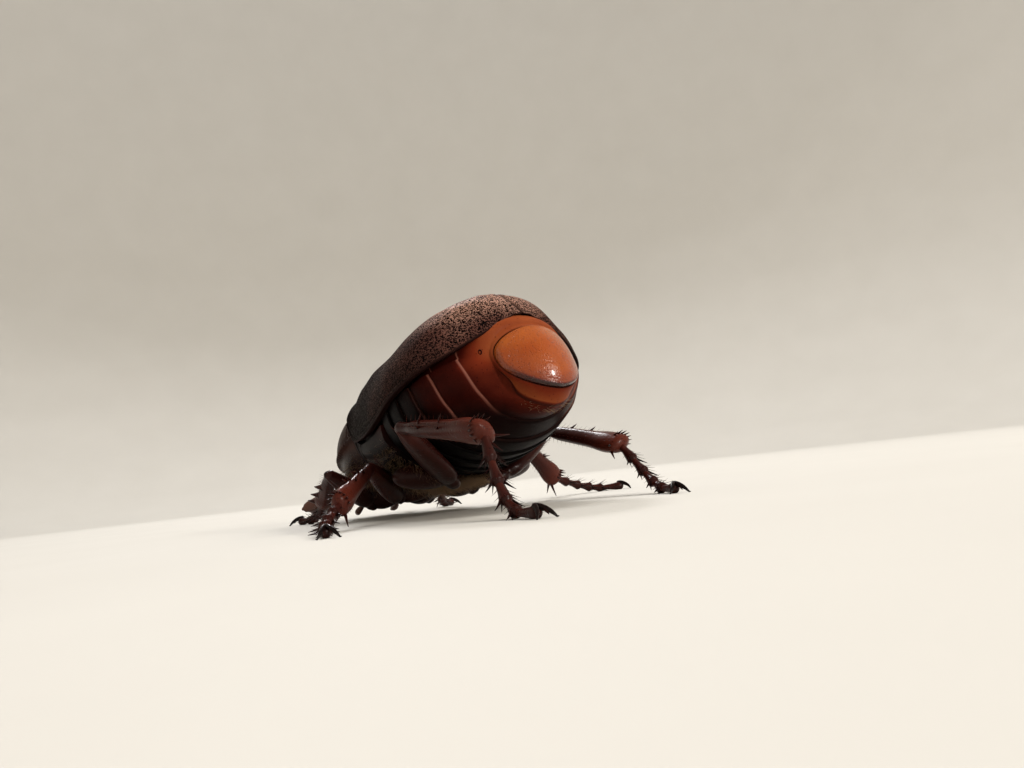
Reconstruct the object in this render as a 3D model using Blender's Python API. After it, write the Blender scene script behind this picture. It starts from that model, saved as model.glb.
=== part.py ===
"""A lepidiota scarab beetle at life size, standing on six legs with its rear raised and its head low.

Lengths are written in millimetres and turned into metres as each mesh is made. The body is drawn in
the beetle's own frame, where +X is its left side, +Y runs from head to tail and +Z is up, with the
belly lowest at the origin. The legs are drawn in the standing frame, where the floor is at Z = 0.
"""
import math

import bmesh
import bpy
import numpy as np
from mathutils import Matrix, Vector

MM = 0.001
GAP = 0.3

# Stance: how far the tail is raised, and the height of the belly's lowest point over the floor
TAIL_UP = math.radians(13.5)
BELLY_HEIGHT = 2.1
STANCE = Matrix.Translation((0, 0, BELLY_HEIGHT)) @ Matrix.Rotation(TAIL_UP, 4, "X")

# Wing cases: the side edge and the middle edge of the left one, from shoulder to tip
CASE_THICKNESS = 0.55
CASE_SIDE = [
    (5.25, -5.5, 6.95), (5.68, -4.1, 5.05), (6.2, -1.5, 4.4), (6.8, 1.95, 4.4), (7.05, 4.95, 4.85),
    (6.55, 8.2, 5.25), (4.85, 9.95, 5.85), (3.0, 11.05, 6.6), (0.6, 11.55, 7.7),
]
CASE_CREST_Z = [
    (-5.5, 9.4), (-3.0, 10.1), (0.0, 10.6), (3.0, 10.7), (6.0, 10.65),
    (8.0, 10.55), (9.4, 10.17), (10.7, 9.0), (11.6, 7.75),
]
CASE_ROWS = 22
CASE_COLUMNS = 10
CASE_SWELL = -0.1
SHOULDER_KNOB = dict(at=(4.5, -3.6, 8.6), height=0.25, reach=1.2)
FLANK_SWELL = dict(at=(4.2, -1.6, 8.9), height=0.4, reach=2.2)
REAR_HOLLOW = dict(at=(3.8, 10.2, 8.3), height=-0.22, reach=1.3)

# Scutellum: the small shield between the bases of the wing cases
SHIELD_FRONT = -5.35
SHIELD_LENGTH = 2.5
SHIELD_HALF_WIDTH = 1.75
SHIELD_THICKNESS = 0.7

# Body core at stations along Y: half width, height of the side, bottom, top, ledge under the case
THORAX = [
    (-5.45, 4.6, 5.9, 1.5, 8.1, 0.35), (-4.0, 5.2, 4.75, 0.8, 8.5, 0.6),
    (-1.5, 5.9, 4.05, 0.2, 9.4, 0.65), (0.5, 6.2, 4.0, 0.0, 9.7, 0.65),
    (1.9, 6.45, 4.05, 0.0, 9.8, 0.65),
]
ABDOMEN = [
    (2.2, 6.3, 4.3, 0.0, 9.8, 0.3), (5.0, 6.4, 4.7, 0.05, 9.75, 0.3), (8.0, 5.95, 5.0, 0.35, 9.2, 0.3),
    (9.5, 5.2, 5.2, 0.85, 8.6, 0.25), (10.4, 4.6, 5.3, 1.2, 8.1, 0.1),
]
STERNITE_EDGES = (3.5, 5.2, 6.9, 8.6, 10.4)
STERNITE_LIP = 0.16

# Pygidium: the plate that closes the rear. Its back lies on a leaning sheet that is bent round the body
PLATE_TOP = (11.87, 6.55)
PLATE_LEAN = math.tan(math.radians(13.5))
PLATE_BEND = 0.125
PLATE_HALF_WIDTH = 2.9
PLATE_WIDEST_Z = 4.7
PLATE_BOTTOM_Z = 2.0
PLATE_RIM = 0.5
PLATE_DOME = 0.55

# Prothorax at stations along Y: half width, height of the side edge, bottom and top
PROTHORAX = [
    (-5.8, 5.0, 5.75, 2.1, 9.15), (-6.9, 5.3, 5.4, 1.9, 9.1), (-8.2, 5.2, 5.1, 1.85, 8.75),
    (-9.5, 4.7, 4.9, 1.9, 8.15), (-10.5, 4.1, 4.75, 2.2, 7.5), (-11.2, 3.5, 4.65, 2.7, 6.95),
]
PROTHORAX_FRONT_HOLLOW = 0.7

# Head, drawn level with its back at the origin and its front towards -Y, then tipped down
HEAD_PLACE = Matrix.Translation((0, -10.55, 5.25)) @ Matrix.Rotation(math.radians(24.0), 4, "X")
HEAD = [
    (0.5, 1.9, 1.5, -1.5), (0.0, 2.35, 1.85, -1.75), (-0.9, 2.6, 1.95, -1.85), (-1.8, 2.45, 1.75, -1.8),
    (-2.5, 2.15, 1.4, -1.6), (-3.0, 2.1, 1.05, -1.2), (-3.5, 2.1, 0.85, -0.5), (-4.1, 2.0, 0.85, 0.1),
    (-4.35, 1.75, 0.85, 0.3),
]
CLYPEUS_NOTCH = 0.14
CLYPEUS_NOTCH_WIDTH = 0.8
EYE_CENTRE = (2.45, -0.75, 0.25)
EYE_RADII = (1.0, 1.2, 1.3)
MOUTH_PARTS = dict(centre=(0, -2.75, -1.35), radii=(1.45, 1.05, 0.75))

# Feelers and palps, in the head's frame
FEELER_STEM = [(2.0, -2.3, -0.4), (2.8, -2.85, -0.3), (3.45, -3.5, -0.15), (3.8, -4.3, 0.0)]
FEELER_STEM_RADIUS = 0.27
FEELER_CLUB_LENGTH = 2.1
FEELER_CLUB_BLADE = (0.26, 0.55)
FEELER_CLUB_SPREAD = math.radians(13.0)
PALP = [(1.0, -2.9, -1.6), (1.5, -3.4, -1.95), (1.75, -4.0, -2.0), (1.65, -4.7, -1.8)]
PALP_RADIUS = 0.26

# Legs. Coxae and hips are in the body's frame, ankles and knees' lean in the standing frame. The left
# legs come first: each foot stands in its own place, as on a walking beetle
COXAE = {
    "fore": dict(centre=(1.75, -8.9, 2.0), radii=(1.65, 1.0, 1.3), hip=(2.5, -9.1, 1.1)),
    "mid": dict(centre=(2.1, -3.6, 0.75), radii=(1.75, 0.95, 0.95), hip=(3.1, -3.5, 0.2)),
    "hind": dict(centre=(3.0, 0.9, 0.6), radii=(2.8, 1.1, 1.0), hip=(1.9, 2.0, -0.45)),
}
FEMUR = {
    "fore": dict(length=4.8, width=0.95, thickness=0.62),
    "mid": dict(length=5.7, width=0.95, thickness=0.62),
    "hind": dict(length=7.1, width=1.2, thickness=0.66),
}
TIBIA = {
    "fore": dict(length=4.6, width=0.8, thickness=0.48),
    "mid": dict(length=5.6, width=0.85, thickness=0.6),
    "hind": dict(length=8.0, width=1.0, thickness=0.66),
}
TARSUS_LENGTH = {"fore": 5.0, "mid": 6.6, "hind": 7.6}
STANDS = {
    "fore_left": dict(ankle=(5.4, -12.2, 1.5), lean=(0.9, 0.6, 0.8), heading=-100, turn=6),
    "fore_right": dict(ankle=(-6.6, -13.4, 1.5), lean=(-0.8, 0.3, 1.0), heading=-66, turn=8),
    "mid_left": dict(ankle=(11.0, 3.4, 1.6), lean=(0.1, 0.1, 1.0), heading=46, turn=6),
    "mid_right": dict(ankle=(-11.2, -3.0, 1.6), lean=(-0.4, 0.2, 0.8), heading=-8, turn=10),
    "hind_left": dict(ankle=(6.45, 12.9, 4.75), lean=(0.71, -0.41, 0.57), heading=72, turn=3),
    "hind_right": dict(ankle=(-8.13, 8.17, 3.55), lean=(-0.6, -0.67, 0.43), heading=98, turn=4),
}
FOOT_SHARES = (0.24, 0.19, 0.17, 0.15, 0.25)
FOOT_SLOPES = (1.0, 0.95, 0.8, 0.5, 0.0)
FOOT_AXIS_HEIGHT = 0.3
FOOT_RADII = (0.27, 0.4)
CLAW_RADIUS = 0.2
CLAW_CURL = 0.75

COLOURS = {
    "case brown": (0.075, 0.035, 0.022, 0.55),
    "shield brown": (0.06, 0.025, 0.015, 0.4),
    "mahogany": (0.13, 0.022, 0.01, 0.28),
    "amber": (0.42, 0.1, 0.012, 0.2),
    "leg brown": (0.07, 0.014, 0.008, 0.3),
    "feeler brown": (0.2, 0.06, 0.02, 0.35),
    "eye black": (0.01, 0.008, 0.007, 0.15),
}


def material(name):
    """The finish with that name, made once."""
    made = bpy.data.materials.get(name)
    if made is None:
        red, green, blue, roughness = COLOURS[name]
        made = bpy.data.materials.new(name)
        made.use_nodes = True
        shader = made.node_tree.nodes["Principled BSDF"]
        shader.inputs["Base Color"].default_value = (red, green, blue, 1.0)
        shader.inputs["Roughness"].default_value = roughness
        shader.inputs["Metallic"].default_value = 0.0
    return made


def hermite(places, values, at):
    """Values of a smooth curve through the given ones, at the places asked for."""
    slope = np.gradient(values, places, axis=0)
    i = np.clip(np.searchsorted(places, at, side="right") - 1, 0, len(places) - 2)
    step = (places[i + 1] - places[i])[:, None]
    s = (at - places[i])[:, None] / step
    rise = (2 * s**3 - 3 * s**2 + 1) * values[i] + (3 * s**2 - 2 * s**3) * values[i + 1]
    return rise + (s**3 - 2 * s**2 + s) * step * slope[i] + (s**3 - s**2) * step * slope[i + 1]


def smooth_curve(points, count):
    """Evenly spread points on a smooth curve through the given ones."""
    points = np.array(points, float)
    along = np.r_[0, np.cumsum(np.linalg.norm(np.diff(points, axis=0), axis=1))]
    return hermite(along, points, np.linspace(0, along[-1], count))


def at_stations(table, places):
    """Rows of a station table, smoothly read at other places along its first column."""
    table = np.array(table, float)
    return hermite(table[:, 0], table[:, 1:], np.array(places, float))


def new_object(name, mesh, finish, holder):
    thing = bpy.data.objects.new(name, mesh)
    bpy.context.scene.collection.objects.link(thing)
    thing.parent = holder
    mesh.materials.append(material(finish))
    return thing


def mesh_of(name, work):
    """A mesh in metres from a bmesh drawn in millimetres, facing out and shaded smooth."""
    bmesh.ops.remove_doubles(work, verts=work.verts, dist=1e-4)
    bmesh.ops.recalc_face_normals(work, faces=work.faces)
    bmesh.ops.scale(work, vec=(MM, MM, MM), verts=work.verts)
    mesh = bpy.data.meshes.new(name)
    work.to_mesh(mesh)
    work.free()
    mesh.shade_smooth()
    mesh.set_sharp_from_angle(angle=math.radians(40))
    return mesh


def loft(rings, place=None):
    """A closed bmesh through closed rings of points, with a flat cap on each end."""
    work = bmesh.new()
    loops = [[work.verts.new(point) for point in ring] for ring in rings]
    for ring, following in zip(loops, loops[1:]):
        for i in range(len(ring)):
            j = (i + 1) % len(ring)
            work.faces.new((ring[i], ring[j], following[j], following[i]))
    work.faces.new(loops[0])
    work.faces.new(reversed(loops[-1]))
    if place is not None:
        bmesh.ops.transform(work, matrix=place, verts=work.verts)
    return work


def ellipsoid(centre, radii, place=None, segments=20, rings=12):
    work = bmesh.new()
    bmesh.ops.create_uvsphere(work, u_segments=segments, v_segments=rings, radius=1.0)
    bmesh.ops.scale(work, vec=radii, verts=work.verts)
    bmesh.ops.translate(work, vec=centre, verts=work.verts)
    if place is not None:
        bmesh.ops.transform(work, matrix=place, verts=work.verts)
    return work


def mirrored(points, side):
    """Points drawn for the left side, moved to the side asked for."""
    return np.array(points, float) * (side, 1, 1)


def bake(thing):
    """Turns the object's modifiers into its mesh."""
    bpy.context.view_layer.update()
    seen = thing.evaluated_get(bpy.context.evaluated_depsgraph_get())
    mesh = bpy.data.meshes.new_from_object(seen)
    thing.modifiers.clear()
    thing.data = mesh


def keep_largest(thing):
    """Drops every closed surface of the mesh but the largest."""
    work = bmesh.new()
    work.from_mesh(thing.data)
    left, shells = set(work.faces), []
    while left:
        shell, queue = set(), [left.pop()]
        while queue:
            face = queue.pop()
            shell.add(face)
            near = {other for edge in face.edges for other in edge.link_faces} & left
            left -= near
            queue.extend(near)
        shells.append(shell)
    shells.sort(key=lambda shell: sum(face.calc_area() for face in shell))
    for shell in shells[:-1]:
        bmesh.ops.delete(work, geom=list(shell), context="FACES")
    work.to_mesh(thing.data)
    work.free()


def fuse(name, pieces, finish, holder):
    """One closed object from closed pieces that overlap, with their union applied."""
    batch = bpy.data.collections.new("pieces of " + name)
    bpy.context.scene.collection.children.link(batch)
    first = new_object(name, mesh_of(name, pieces[0]), finish, holder)
    for piece in pieces[1:]:
        helper = bpy.data.objects.new("piece", mesh_of("piece", piece))
        helper.parent = holder
        batch.objects.link(helper)
    join = first.modifiers.new("join", "BOOLEAN")
    join.operation = "UNION"
    join.operand_type = "COLLECTION"
    join.collection = batch
    join.solver = "MANIFOLD"
    bake(first)
    for helper in list(batch.objects):
        bpy.data.objects.remove(helper)
    bpy.data.collections.remove(batch)
    keep_largest(first)
    return first


def pare(thing, *neighbours, by=GAP):
    """Cuts the object clear of its neighbours by the gap, so that they meet face to face."""
    bpy.context.view_layer.update()
    for neighbour in neighbours:
        grown = bpy.data.objects.new("grown", neighbour.data.copy())
        bpy.context.scene.collection.objects.link(grown)
        grown.matrix_world = neighbour.matrix_world
        for vertex, normal in zip(grown.data.vertices, [v.normal.copy() for v in grown.data.vertices]):
            vertex.co += normal * by * MM
        cut = thing.modifiers.new("cut", "BOOLEAN")
        cut.operation = "DIFFERENCE"
        cut.object = grown
        cut.solver = "MANIFOLD"
        bake(thing)
        bpy.data.objects.remove(grown)
    keep_largest(thing)
    return thing


def floor_cut(thing):
    """Cuts off what reaches below the floor, which leaves the small flats that the beetle stands on."""
    slab = bmesh.new()
    bmesh.ops.create_cube(slab, size=100.0)
    bmesh.ops.translate(slab, vec=(0, 0, -50.0), verts=slab.verts)
    floor = bpy.data.objects.new("floor", mesh_of("floor", slab))
    bpy.context.scene.collection.objects.link(floor)
    cut = thing.modifiers.new("cut", "BOOLEAN")
    cut.operation = "DIFFERENCE"
    cut.object = floor
    cut.solver = "MANIFOLD"
    bake(thing)
    bpy.data.objects.remove(floor)
    keep_largest(thing)
    return thing


# Wing cases


def shield_half_width(y):
    """Half width of the scutellum at a place along the body."""
    back = np.clip((np.asarray(y, float) - SHIELD_FRONT) / SHIELD_LENGTH, 0, 1)
    return SHIELD_HALF_WIDTH * np.sqrt(1 - back**2.2)


def case_crest(count):
    """The middle edge of the left wing case: round the scutellum, then along the seam."""
    y, z = smooth_curve(CASE_CREST_Z, count).T
    clear = np.where(y < SHIELD_FRONT + SHIELD_LENGTH + GAP / 2, shield_half_width(y) + GAP, 0)
    return np.column_stack((np.maximum(clear, GAP / 2), y, z))


def knob_lift(points, knob):
    """How far a low round knob lifts each point off the surface."""
    away = np.linalg.norm(points - np.array(knob["at"]), axis=-1)
    return knob["height"] * np.exp(-((away / knob["reach"]) ** 2))


def case_sheet():
    """Grid of points over the left wing case, rows from shoulder to tip, columns from side to seam."""
    side = smooth_curve(CASE_SIDE, CASE_ROWS)
    crest = case_crest(CASE_ROWS)
    turn = np.linspace(0, math.pi / 2, CASE_COLUMNS)[None, :, None]
    span = (side - crest)[:, None, :]
    sheet = crest[:, None, :] + np.repeat(span, CASE_COLUMNS, axis=1)
    sheet[..., 0:2] = (crest[:, None, :] + span * np.cos(turn))[..., 0:2]
    sheet[..., 2:3] = (side[:, None, :] - span * np.sin(turn))[..., 2:3]
    along = np.gradient(sheet, axis=0)
    across = np.gradient(sheet, axis=1)
    out = np.cross(across, along)
    out /= np.linalg.norm(out, axis=-1, keepdims=True)
    swell = CASE_SWELL * np.sin(2 * turn[..., 0]) * np.sin(np.linspace(0.35, math.pi, CASE_ROWS))[:, None]
    lift = swell + sum(knob_lift(sheet, form) for form in (SHOULDER_KNOB, FLANK_SWELL, REAR_HOLLOW))
    return sheet + out * np.sign(out[..., 2:3].mean()) * lift[..., None]


def wing_case(name, side, holder):
    """One wing case: a thin arched shell with a rim."""
    sheet = mirrored(case_sheet(), side)
    work = bmesh.new()
    grid = [[work.verts.new(point) for point in row] for row in sheet]
    for row, following in zip(grid, grid[1:]):
        for i in range(CASE_COLUMNS - 1):
            corners = (row[i], row[i + 1], following[i + 1], following[i])
            work.faces.new(corners if side > 0 else tuple(reversed(corners)))
    work.normal_update()
    if sum(face.normal.z for face in work.faces) < 0:
        bmesh.ops.reverse_faces(work, faces=work.faces)
    bmesh.ops.scale(work, vec=(MM, MM, MM), verts=work.verts)
    mesh = bpy.data.meshes.new(name)
    work.to_mesh(mesh)
    work.free()
    mesh.shade_smooth()
    case = new_object(name, mesh, "case brown", holder)
    shell = case.modifiers.new("shell", "SOLIDIFY")
    shell.thickness = CASE_THICKNESS * MM
    shell.offset = -1.0
    bake(case)
    return case


def scutellum(holder):
    """The small round-backed shield between the wing cases."""
    back = 1 - np.cos(np.linspace(0.0, 0.47 * math.pi, 9))
    rings = []
    for y in SHIELD_FRONT + SHIELD_LENGTH * back / back[-1] * 0.985:
        half = float(shield_half_width(y))
        top = float(at_stations(CASE_CREST_Z, [y])[0, 0]) - 0.05
        ring = [(x * half, y, top - 0.16 * x * x) for x in (-1, -0.6, 0, 0.6, 1)]
        ring += [(x * half * 0.9, y, top - SHIELD_THICKNESS - 0.1 * x * x) for x in (1, 0.4, -0.4, -1)]
        rings.append(ring)
    return new_object("scutellum", mesh_of("scutellum", loft(rings)), "shield brown", holder)


# Body core


def core_ring(y, half, side_z, bottom, top, ledge, point=1.0, low=9, high=5):
    """A closed ring round the body: from the belly up the left side, over the top and down the right."""
    down = np.linspace(-math.pi / 2, 0, low)
    up = np.linspace(0, math.pi / 2, high)
    left = [(half * math.cos(t) ** point, y, side_z + (side_z - bottom) * math.sin(t)) for t in down]
    shelf = side_z + 0.12
    left += [((half - ledge) * math.cos(t), y, shelf + (top - shelf) * math.sin(t)) for t in up]
    left[0] = (0.0, y, bottom)
    left[-1] = (0.0, y, top)
    return np.array(left + [(-x, y, z) for x, y, z in reversed(left[1:-1])])


def thorax(holder):
    """The part of the thorax that carries the wing cases and the middle and hind legs."""
    places = np.linspace(THORAX[0][0], THORAX[-1][0], 9)
    rings = [core_ring(y, *row) for y, row in zip(places, at_stations(THORAX, places))]
    return new_object("thorax", mesh_of("thorax", loft(rings)), "mahogany", holder)


def plate_back_y(x, z):
    """The leaning, bent sheet that the back of the pygidium lies on."""
    return PLATE_TOP[0] + (PLATE_TOP[1] - z) * PLATE_LEAN - PLATE_BEND * x**2


def plate_ring(scale, out, drop=0.0):
    """The pygidium's outline, drawn in towards its middle, moved out from its back and let down below."""
    ring = core_ring(0, PLATE_HALF_WIDTH, PLATE_WIDEST_Z, PLATE_BOTTOM_Z, PLATE_TOP[1], 0, point=1.15)
    middle = (0, 0, PLATE_WIDEST_Z - 0.6)
    ring = (ring - middle) * scale + middle
    low = np.clip((PLATE_WIDEST_Z - ring[:, 2]) / (PLATE_WIDEST_Z - PLATE_BOTTOM_Z), 0, None)
    ring[:, 1] = plate_back_y(ring[:, 0], ring[:, 2]) + out - 0.35 * drop * low
    ring[:, 2] -= drop * low
    return ring


def sternite_lip(y):
    """How far the belly plate at this place stands out: each is proudest at its hind edge."""
    edges = (ABDOMEN[0][0],) + STERNITE_EDGES
    number = min(max(np.searchsorted(edges, y + 1e-6), 1), len(edges) - 1)
    front, back = edges[number - 1 : number + 1]
    return STERNITE_LIP * (y - front) / (back - front)


def belly_ring(y, stand_out):
    """A ring round the abdomen, with its belly side standing out by a little."""
    half, side_z, bottom, top, ledge = at_stations(ABDOMEN, [y])[0]
    return core_ring(y, half + stand_out, side_z, bottom - stand_out, top, ledge + stand_out)


def abdomen(holder):
    """The abdomen: belly plates that overlap like tiles, and the back that the wing cases hide."""
    places = [ABDOMEN[0][0]]
    for edge in STERNITE_EDGES:
        places += [edge - 0.06, edge]
    rings = [belly_ring(y, sternite_lip(y)) for y in places]
    last, plate = belly_ring(STERNITE_EDGES[-1], 0.0), plate_ring(1.04, -0.75, 0.95)
    for share in (0.06, 0.4, 0.75, 0.97):
        bulge = 1.0 + 0.035 * math.sin(math.pi * share)
        rings.append((last + (plate - last) * share - (0, 0, 4)) * (bulge, 1, bulge) + (0, 0, 4))
    rings.append(plate_ring(1.03, -0.66, 0.82))
    rings.append(plate_ring(1.05, -0.35, 0.3))
    for scale in (1.03, 0.5, 0.1):
        rings.append(plate_ring(scale, -GAP))
    return new_object("abdomen", mesh_of("abdomen", loft(rings)), "mahogany", holder)


def pygidium(holder):
    """The glossy domed plate that closes the rear end."""
    rings = [plate_ring(scale, 0.0) for scale in (0.1, 0.97)]
    rings.append(plate_ring(1.0, 0.12))
    for scale in (0.99, 0.88, 0.65, 0.4, 0.1):
        rings.append(plate_ring(scale, PLATE_RIM + PLATE_DOME * (1 - scale**2)))
    return new_object("pygidium", mesh_of("pygidium", loft(rings)), "amber", holder)


def prothorax(holder):
    """The front of the thorax: the broad collar shield above, and the underside with the fore legs."""
    places = np.linspace(PROTHORAX[0][0], PROTHORAX[-1][0], 10)
    front, back = PROTHORAX[-1][0], PROTHORAX[0][0]
    rings = []
    for y, row in zip(places, at_stations(sorted(PROTHORAX), places)):
        half, side_z, bottom, top = row
        ring = core_ring(y, half * 0.97, side_z - 0.1, bottom, top, -0.03 * half, low=7, high=7)
        fore = (y - back) / (front - back)
        ring[:, 1] += PROTHORAX_FRONT_HOLLOW * fore**2 * (1 - (ring[:, 0] / half) ** 2)
        rings.append(ring)
    return new_object("prothorax", mesh_of("prothorax", loft(rings)), "shield brown", holder)


# Head


def head(holder):
    """The head with its broad, shallowly notched clypeus, and the mouth parts below it."""
    places = np.linspace(HEAD[0][0], HEAD[-1][0], 15)
    rings = []
    for y, (half, top, bottom) in zip(places, at_stations(sorted(HEAD), places)):
        ring = core_ring(y, half, top * 0.45 + bottom * 0.55, bottom, top, 0.0, point=0.8, low=6, high=6)
        ahead = max(0.0, (HEAD[3][0] - y) / (HEAD[3][0] - HEAD[-1][0]))
        notch = 2 * np.exp(-((ring[:, 0] / CLYPEUS_NOTCH_WIDTH) ** 2)) - 1
        ring[:, 1] += CLYPEUS_NOTCH * ahead**2 * notch
        rings.append(ring)
    skull = loft(rings, HEAD_PLACE)
    mouth = ellipsoid(MOUTH_PARTS["centre"], MOUTH_PARTS["radii"], HEAD_PLACE, segments=16, rings=8)
    return fuse("head", [skull, mouth], "shield brown", holder)


def eye(name, side, holder):
    centre = mirrored(EYE_CENTRE, side)
    ball = ellipsoid(centre, EYE_RADII, HEAD_PLACE, segments=14, rings=8)
    return new_object(name, mesh_of(name, ball), "eye black", holder)


def tube(points, radii, sides=8, flat=1.0, place=None):
    """A round or flattened tube along points, with a ring at each of them."""
    points = np.array(points, float)
    along = np.gradient(points, axis=0)
    along /= np.linalg.norm(along, axis=1, keepdims=True)
    up = np.array((0.0, 0.0, 1.0)) if abs(along[0][2]) < 0.9 else np.array((0.0, 1.0, 0.0))
    rings = []
    for point, ahead, radius in zip(points, along, radii):
        across = np.cross(ahead, up)
        across /= np.linalg.norm(across)
        above = np.cross(across, ahead)
        turn = np.linspace(0, 2 * math.pi, sides, endpoint=False)
        rings.append([point + radius * (math.cos(t) * across * flat + math.sin(t) * above) for t in turn])
    return loft(rings, place)


def feeler(side, holder):
    """The jointed stem of a feeler, and the club of three blades on its end."""
    stem_points = smooth_curve(mirrored(FEELER_STEM, side), 13)
    beads = [FEELER_STEM_RADIUS * (1.15 if i % 2 else 0.95) for i in range(13)]
    word = "left" if side > 0 else "right"
    stem_mesh = mesh_of(f"feeler_{word}", tube(stem_points, beads, place=HEAD_PLACE))
    stem = new_object(f"feeler_{word}", stem_mesh, "feeler brown", holder)
    root = Vector(stem_points[-1])
    ahead = Vector(stem_points[-1] - stem_points[-2]).normalized()
    start = root + ahead * (GAP + 0.05)
    blades = []
    half_thick, half_wide = FEELER_CLUB_BLADE
    across = ahead.cross(Vector((0, 0, 1))).normalized()
    for number in (-1, 0, 1):
        spread = Matrix.Rotation(FEELER_CLUB_SPREAD * number, 3, Vector((0, 0, 1)))
        lean = spread @ ahead
        shift = across * number * half_thick * -1.25
        at = [start + shift + lean * FEELER_CLUB_LENGTH * s for s in (0.0, 0.25, 0.75, 1.0)]
        size = [half_wide * s for s in (0.6, 1.0, 0.95, 0.4)]
        points = [tuple(point) for point in at]
        blades.append(tube(points, size, sides=8, flat=half_thick / half_wide, place=HEAD_PLACE))
    knot = ellipsoid(start + ahead * 0.3, (0.45, 0.42, 0.4), HEAD_PLACE, segments=10, rings=6)
    club = fuse(f"feeler_club_{word}", [knot] + blades, "feeler brown", holder)
    return stem, club


def palp(side, holder):
    word = "left" if side > 0 else "right"
    points = smooth_curve(mirrored(PALP, side), 9)
    sizes = [PALP_RADIUS * s for s in (0.9, 1.0, 0.85, 1.05, 0.85, 1.05, 1.15, 1.0, 0.5)]
    work = tube(points, sizes, sides=7, place=HEAD_PLACE)
    return new_object(f"palp_{word}", mesh_of(f"palp_{word}", work), "feeler brown", holder)


# Legs


def knee_of(hip, ankle, femur, tibia, lean):
    """Where two limbs of known length meet, on the side that the lean points to."""
    reach = ankle - hip
    span = reach.length
    ahead = reach / span
    along = (femur**2 - tibia**2 + span**2) / (2 * span)
    off = math.sqrt(max(femur**2 - along**2, 0.01))
    aside = (lean - ahead * lean.dot(ahead)).normalized()
    return hip + ahead * along + aside * off


def limb_rings(start, end, across, sizes, first_plane=None, last_plane=None, sides=10):
    """Elliptical rings along a limb. A plane, a point and a normal, slants the ring at that end."""
    axis = (end - start).normalized()
    wide = (across - axis * across.dot(axis)).normalized()
    thick = axis.cross(wide)
    rings = []
    for share, half_wide, half_thick in sizes:
        centre = start.lerp(end, share)
        turn = [2 * math.pi * i / sides for i in range(sides)]
        along, over = wide * half_wide, thick * half_thick
        rings.append([centre + along * math.cos(t) + over * math.sin(t) for t in turn])
    for ring, plane in ((rings[0], first_plane), (rings[-1], last_plane)):
        if plane:
            point, normal = plane
            ring[:] = [p + axis * ((point - p).dot(normal) / axis.dot(normal)) for p in ring]
    return rings


def spike(root, ahead, length, radius, sides=4, tip=0.3):
    """A stiff tapering spine, its root sunk in what it grows from."""
    ahead = ahead.normalized()
    aside = ahead.orthogonal().normalized()
    over = ahead.cross(aside)
    rings = []
    for share, size in ((0.0, 1.0), (1.0, tip)):
        centre = root + ahead * length * share
        turn = [2 * math.pi * i / sides for i in range(sides)]
        rings.append([centre + (aside * math.cos(t) + over * math.sin(t)) * radius * size for t in turn])
    return loft(rings)


def claw(root, ahead, side):
    """A hooked claw that curls down to the floor, with a tooth under its middle."""
    down = Vector((0, 0, -1))
    aside = ahead.cross(Vector((0, 0, 1))).normalized() * side
    points = []
    for step in range(6):
        angle = math.radians(15 * step)
        rise = CLAW_CURL * 1.3 * math.sin(angle)
        fall = CLAW_CURL * (1 - math.cos(angle))
        points.append(root + ahead * rise + down * fall + aside * 0.12 * step)
    lowest = 0.07
    for point in points:
        point.z = max(point.z, lowest)
    sizes = [CLAW_RADIUS * s for s in (1.0, 0.95, 0.85, 0.7, 0.5, 0.3)]
    tooth = spike(points[2], (ahead + down * 1.2), 0.5, 0.16, sides=4)
    return [tube([tuple(p) for p in points], sizes, sides=5), tooth]


def foot_steepness(fall, length):
    """The slope of the first foot joint for which the foot's joints together come down to the floor."""
    low, high = 0.0, math.radians(75)
    for _ in range(30):
        middle = (low + high) / 2
        slopes = zip(FOOT_SHARES, FOOT_SLOPES)
        drop = sum(length * share * math.sin(slope * middle) for share, slope in slopes)
        low, high = (middle, high) if drop < fall else (low, middle)
    return low


def tarsus(name, leg, ankle, plane, heading, turn, holder):
    """The jointed foot: five beads with spines at their ends, and two claws."""
    length = TARSUS_LENGTH[leg]
    angle = math.radians(heading)
    steepness = foot_steepness(ankle.z - FOOT_AXIS_HEIGHT, length)
    point = ankle.copy()
    narrow, broad = FOOT_RADII
    pieces = []
    for number, (share, slope) in enumerate(zip(FOOT_SHARES, FOOT_SLOPES)):
        run = length * share
        fall = slope * steepness
        level = math.cos(fall) * run
        step = Vector((math.cos(angle) * level, math.sin(angle) * level, -math.sin(fall) * run))
        following = point + step
        sizes = [(-0.12, narrow, narrow), (0.85, broad, broad), (1.0, broad * 0.85, broad * 0.85)]
        if number == 0:
            sizes[0] = (0.0, narrow, narrow)
        first = plane if number == 0 else None
        rings = limb_rings(point, following, Vector((0, 0, 1)), sizes, first_plane=first, sides=7)
        pieces.append(loft(rings))
        ahead = step.normalized()
        aside = ahead.cross(Vector((0, 0, 1))).normalized()
        if number < 4:
            for lean in (-1.0, 1.0):
                out = ahead * 0.8 + aside * lean * 0.75 + Vector((0, 0, -0.12))
                pieces.append(spike(following - ahead * 0.25 + aside * lean * 0.1, out, 1.05, 0.17))
        point = following
        angle += math.radians(turn)
    ahead = Vector((math.cos(angle), math.sin(angle), 0))
    root = point - ahead * 0.15 + Vector((0, 0, 0.28))
    for side in (-1, 1):
        pieces += claw(root, ahead, side)
    return floor_cut(fuse(name, pieces, "leg brown", holder))


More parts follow.
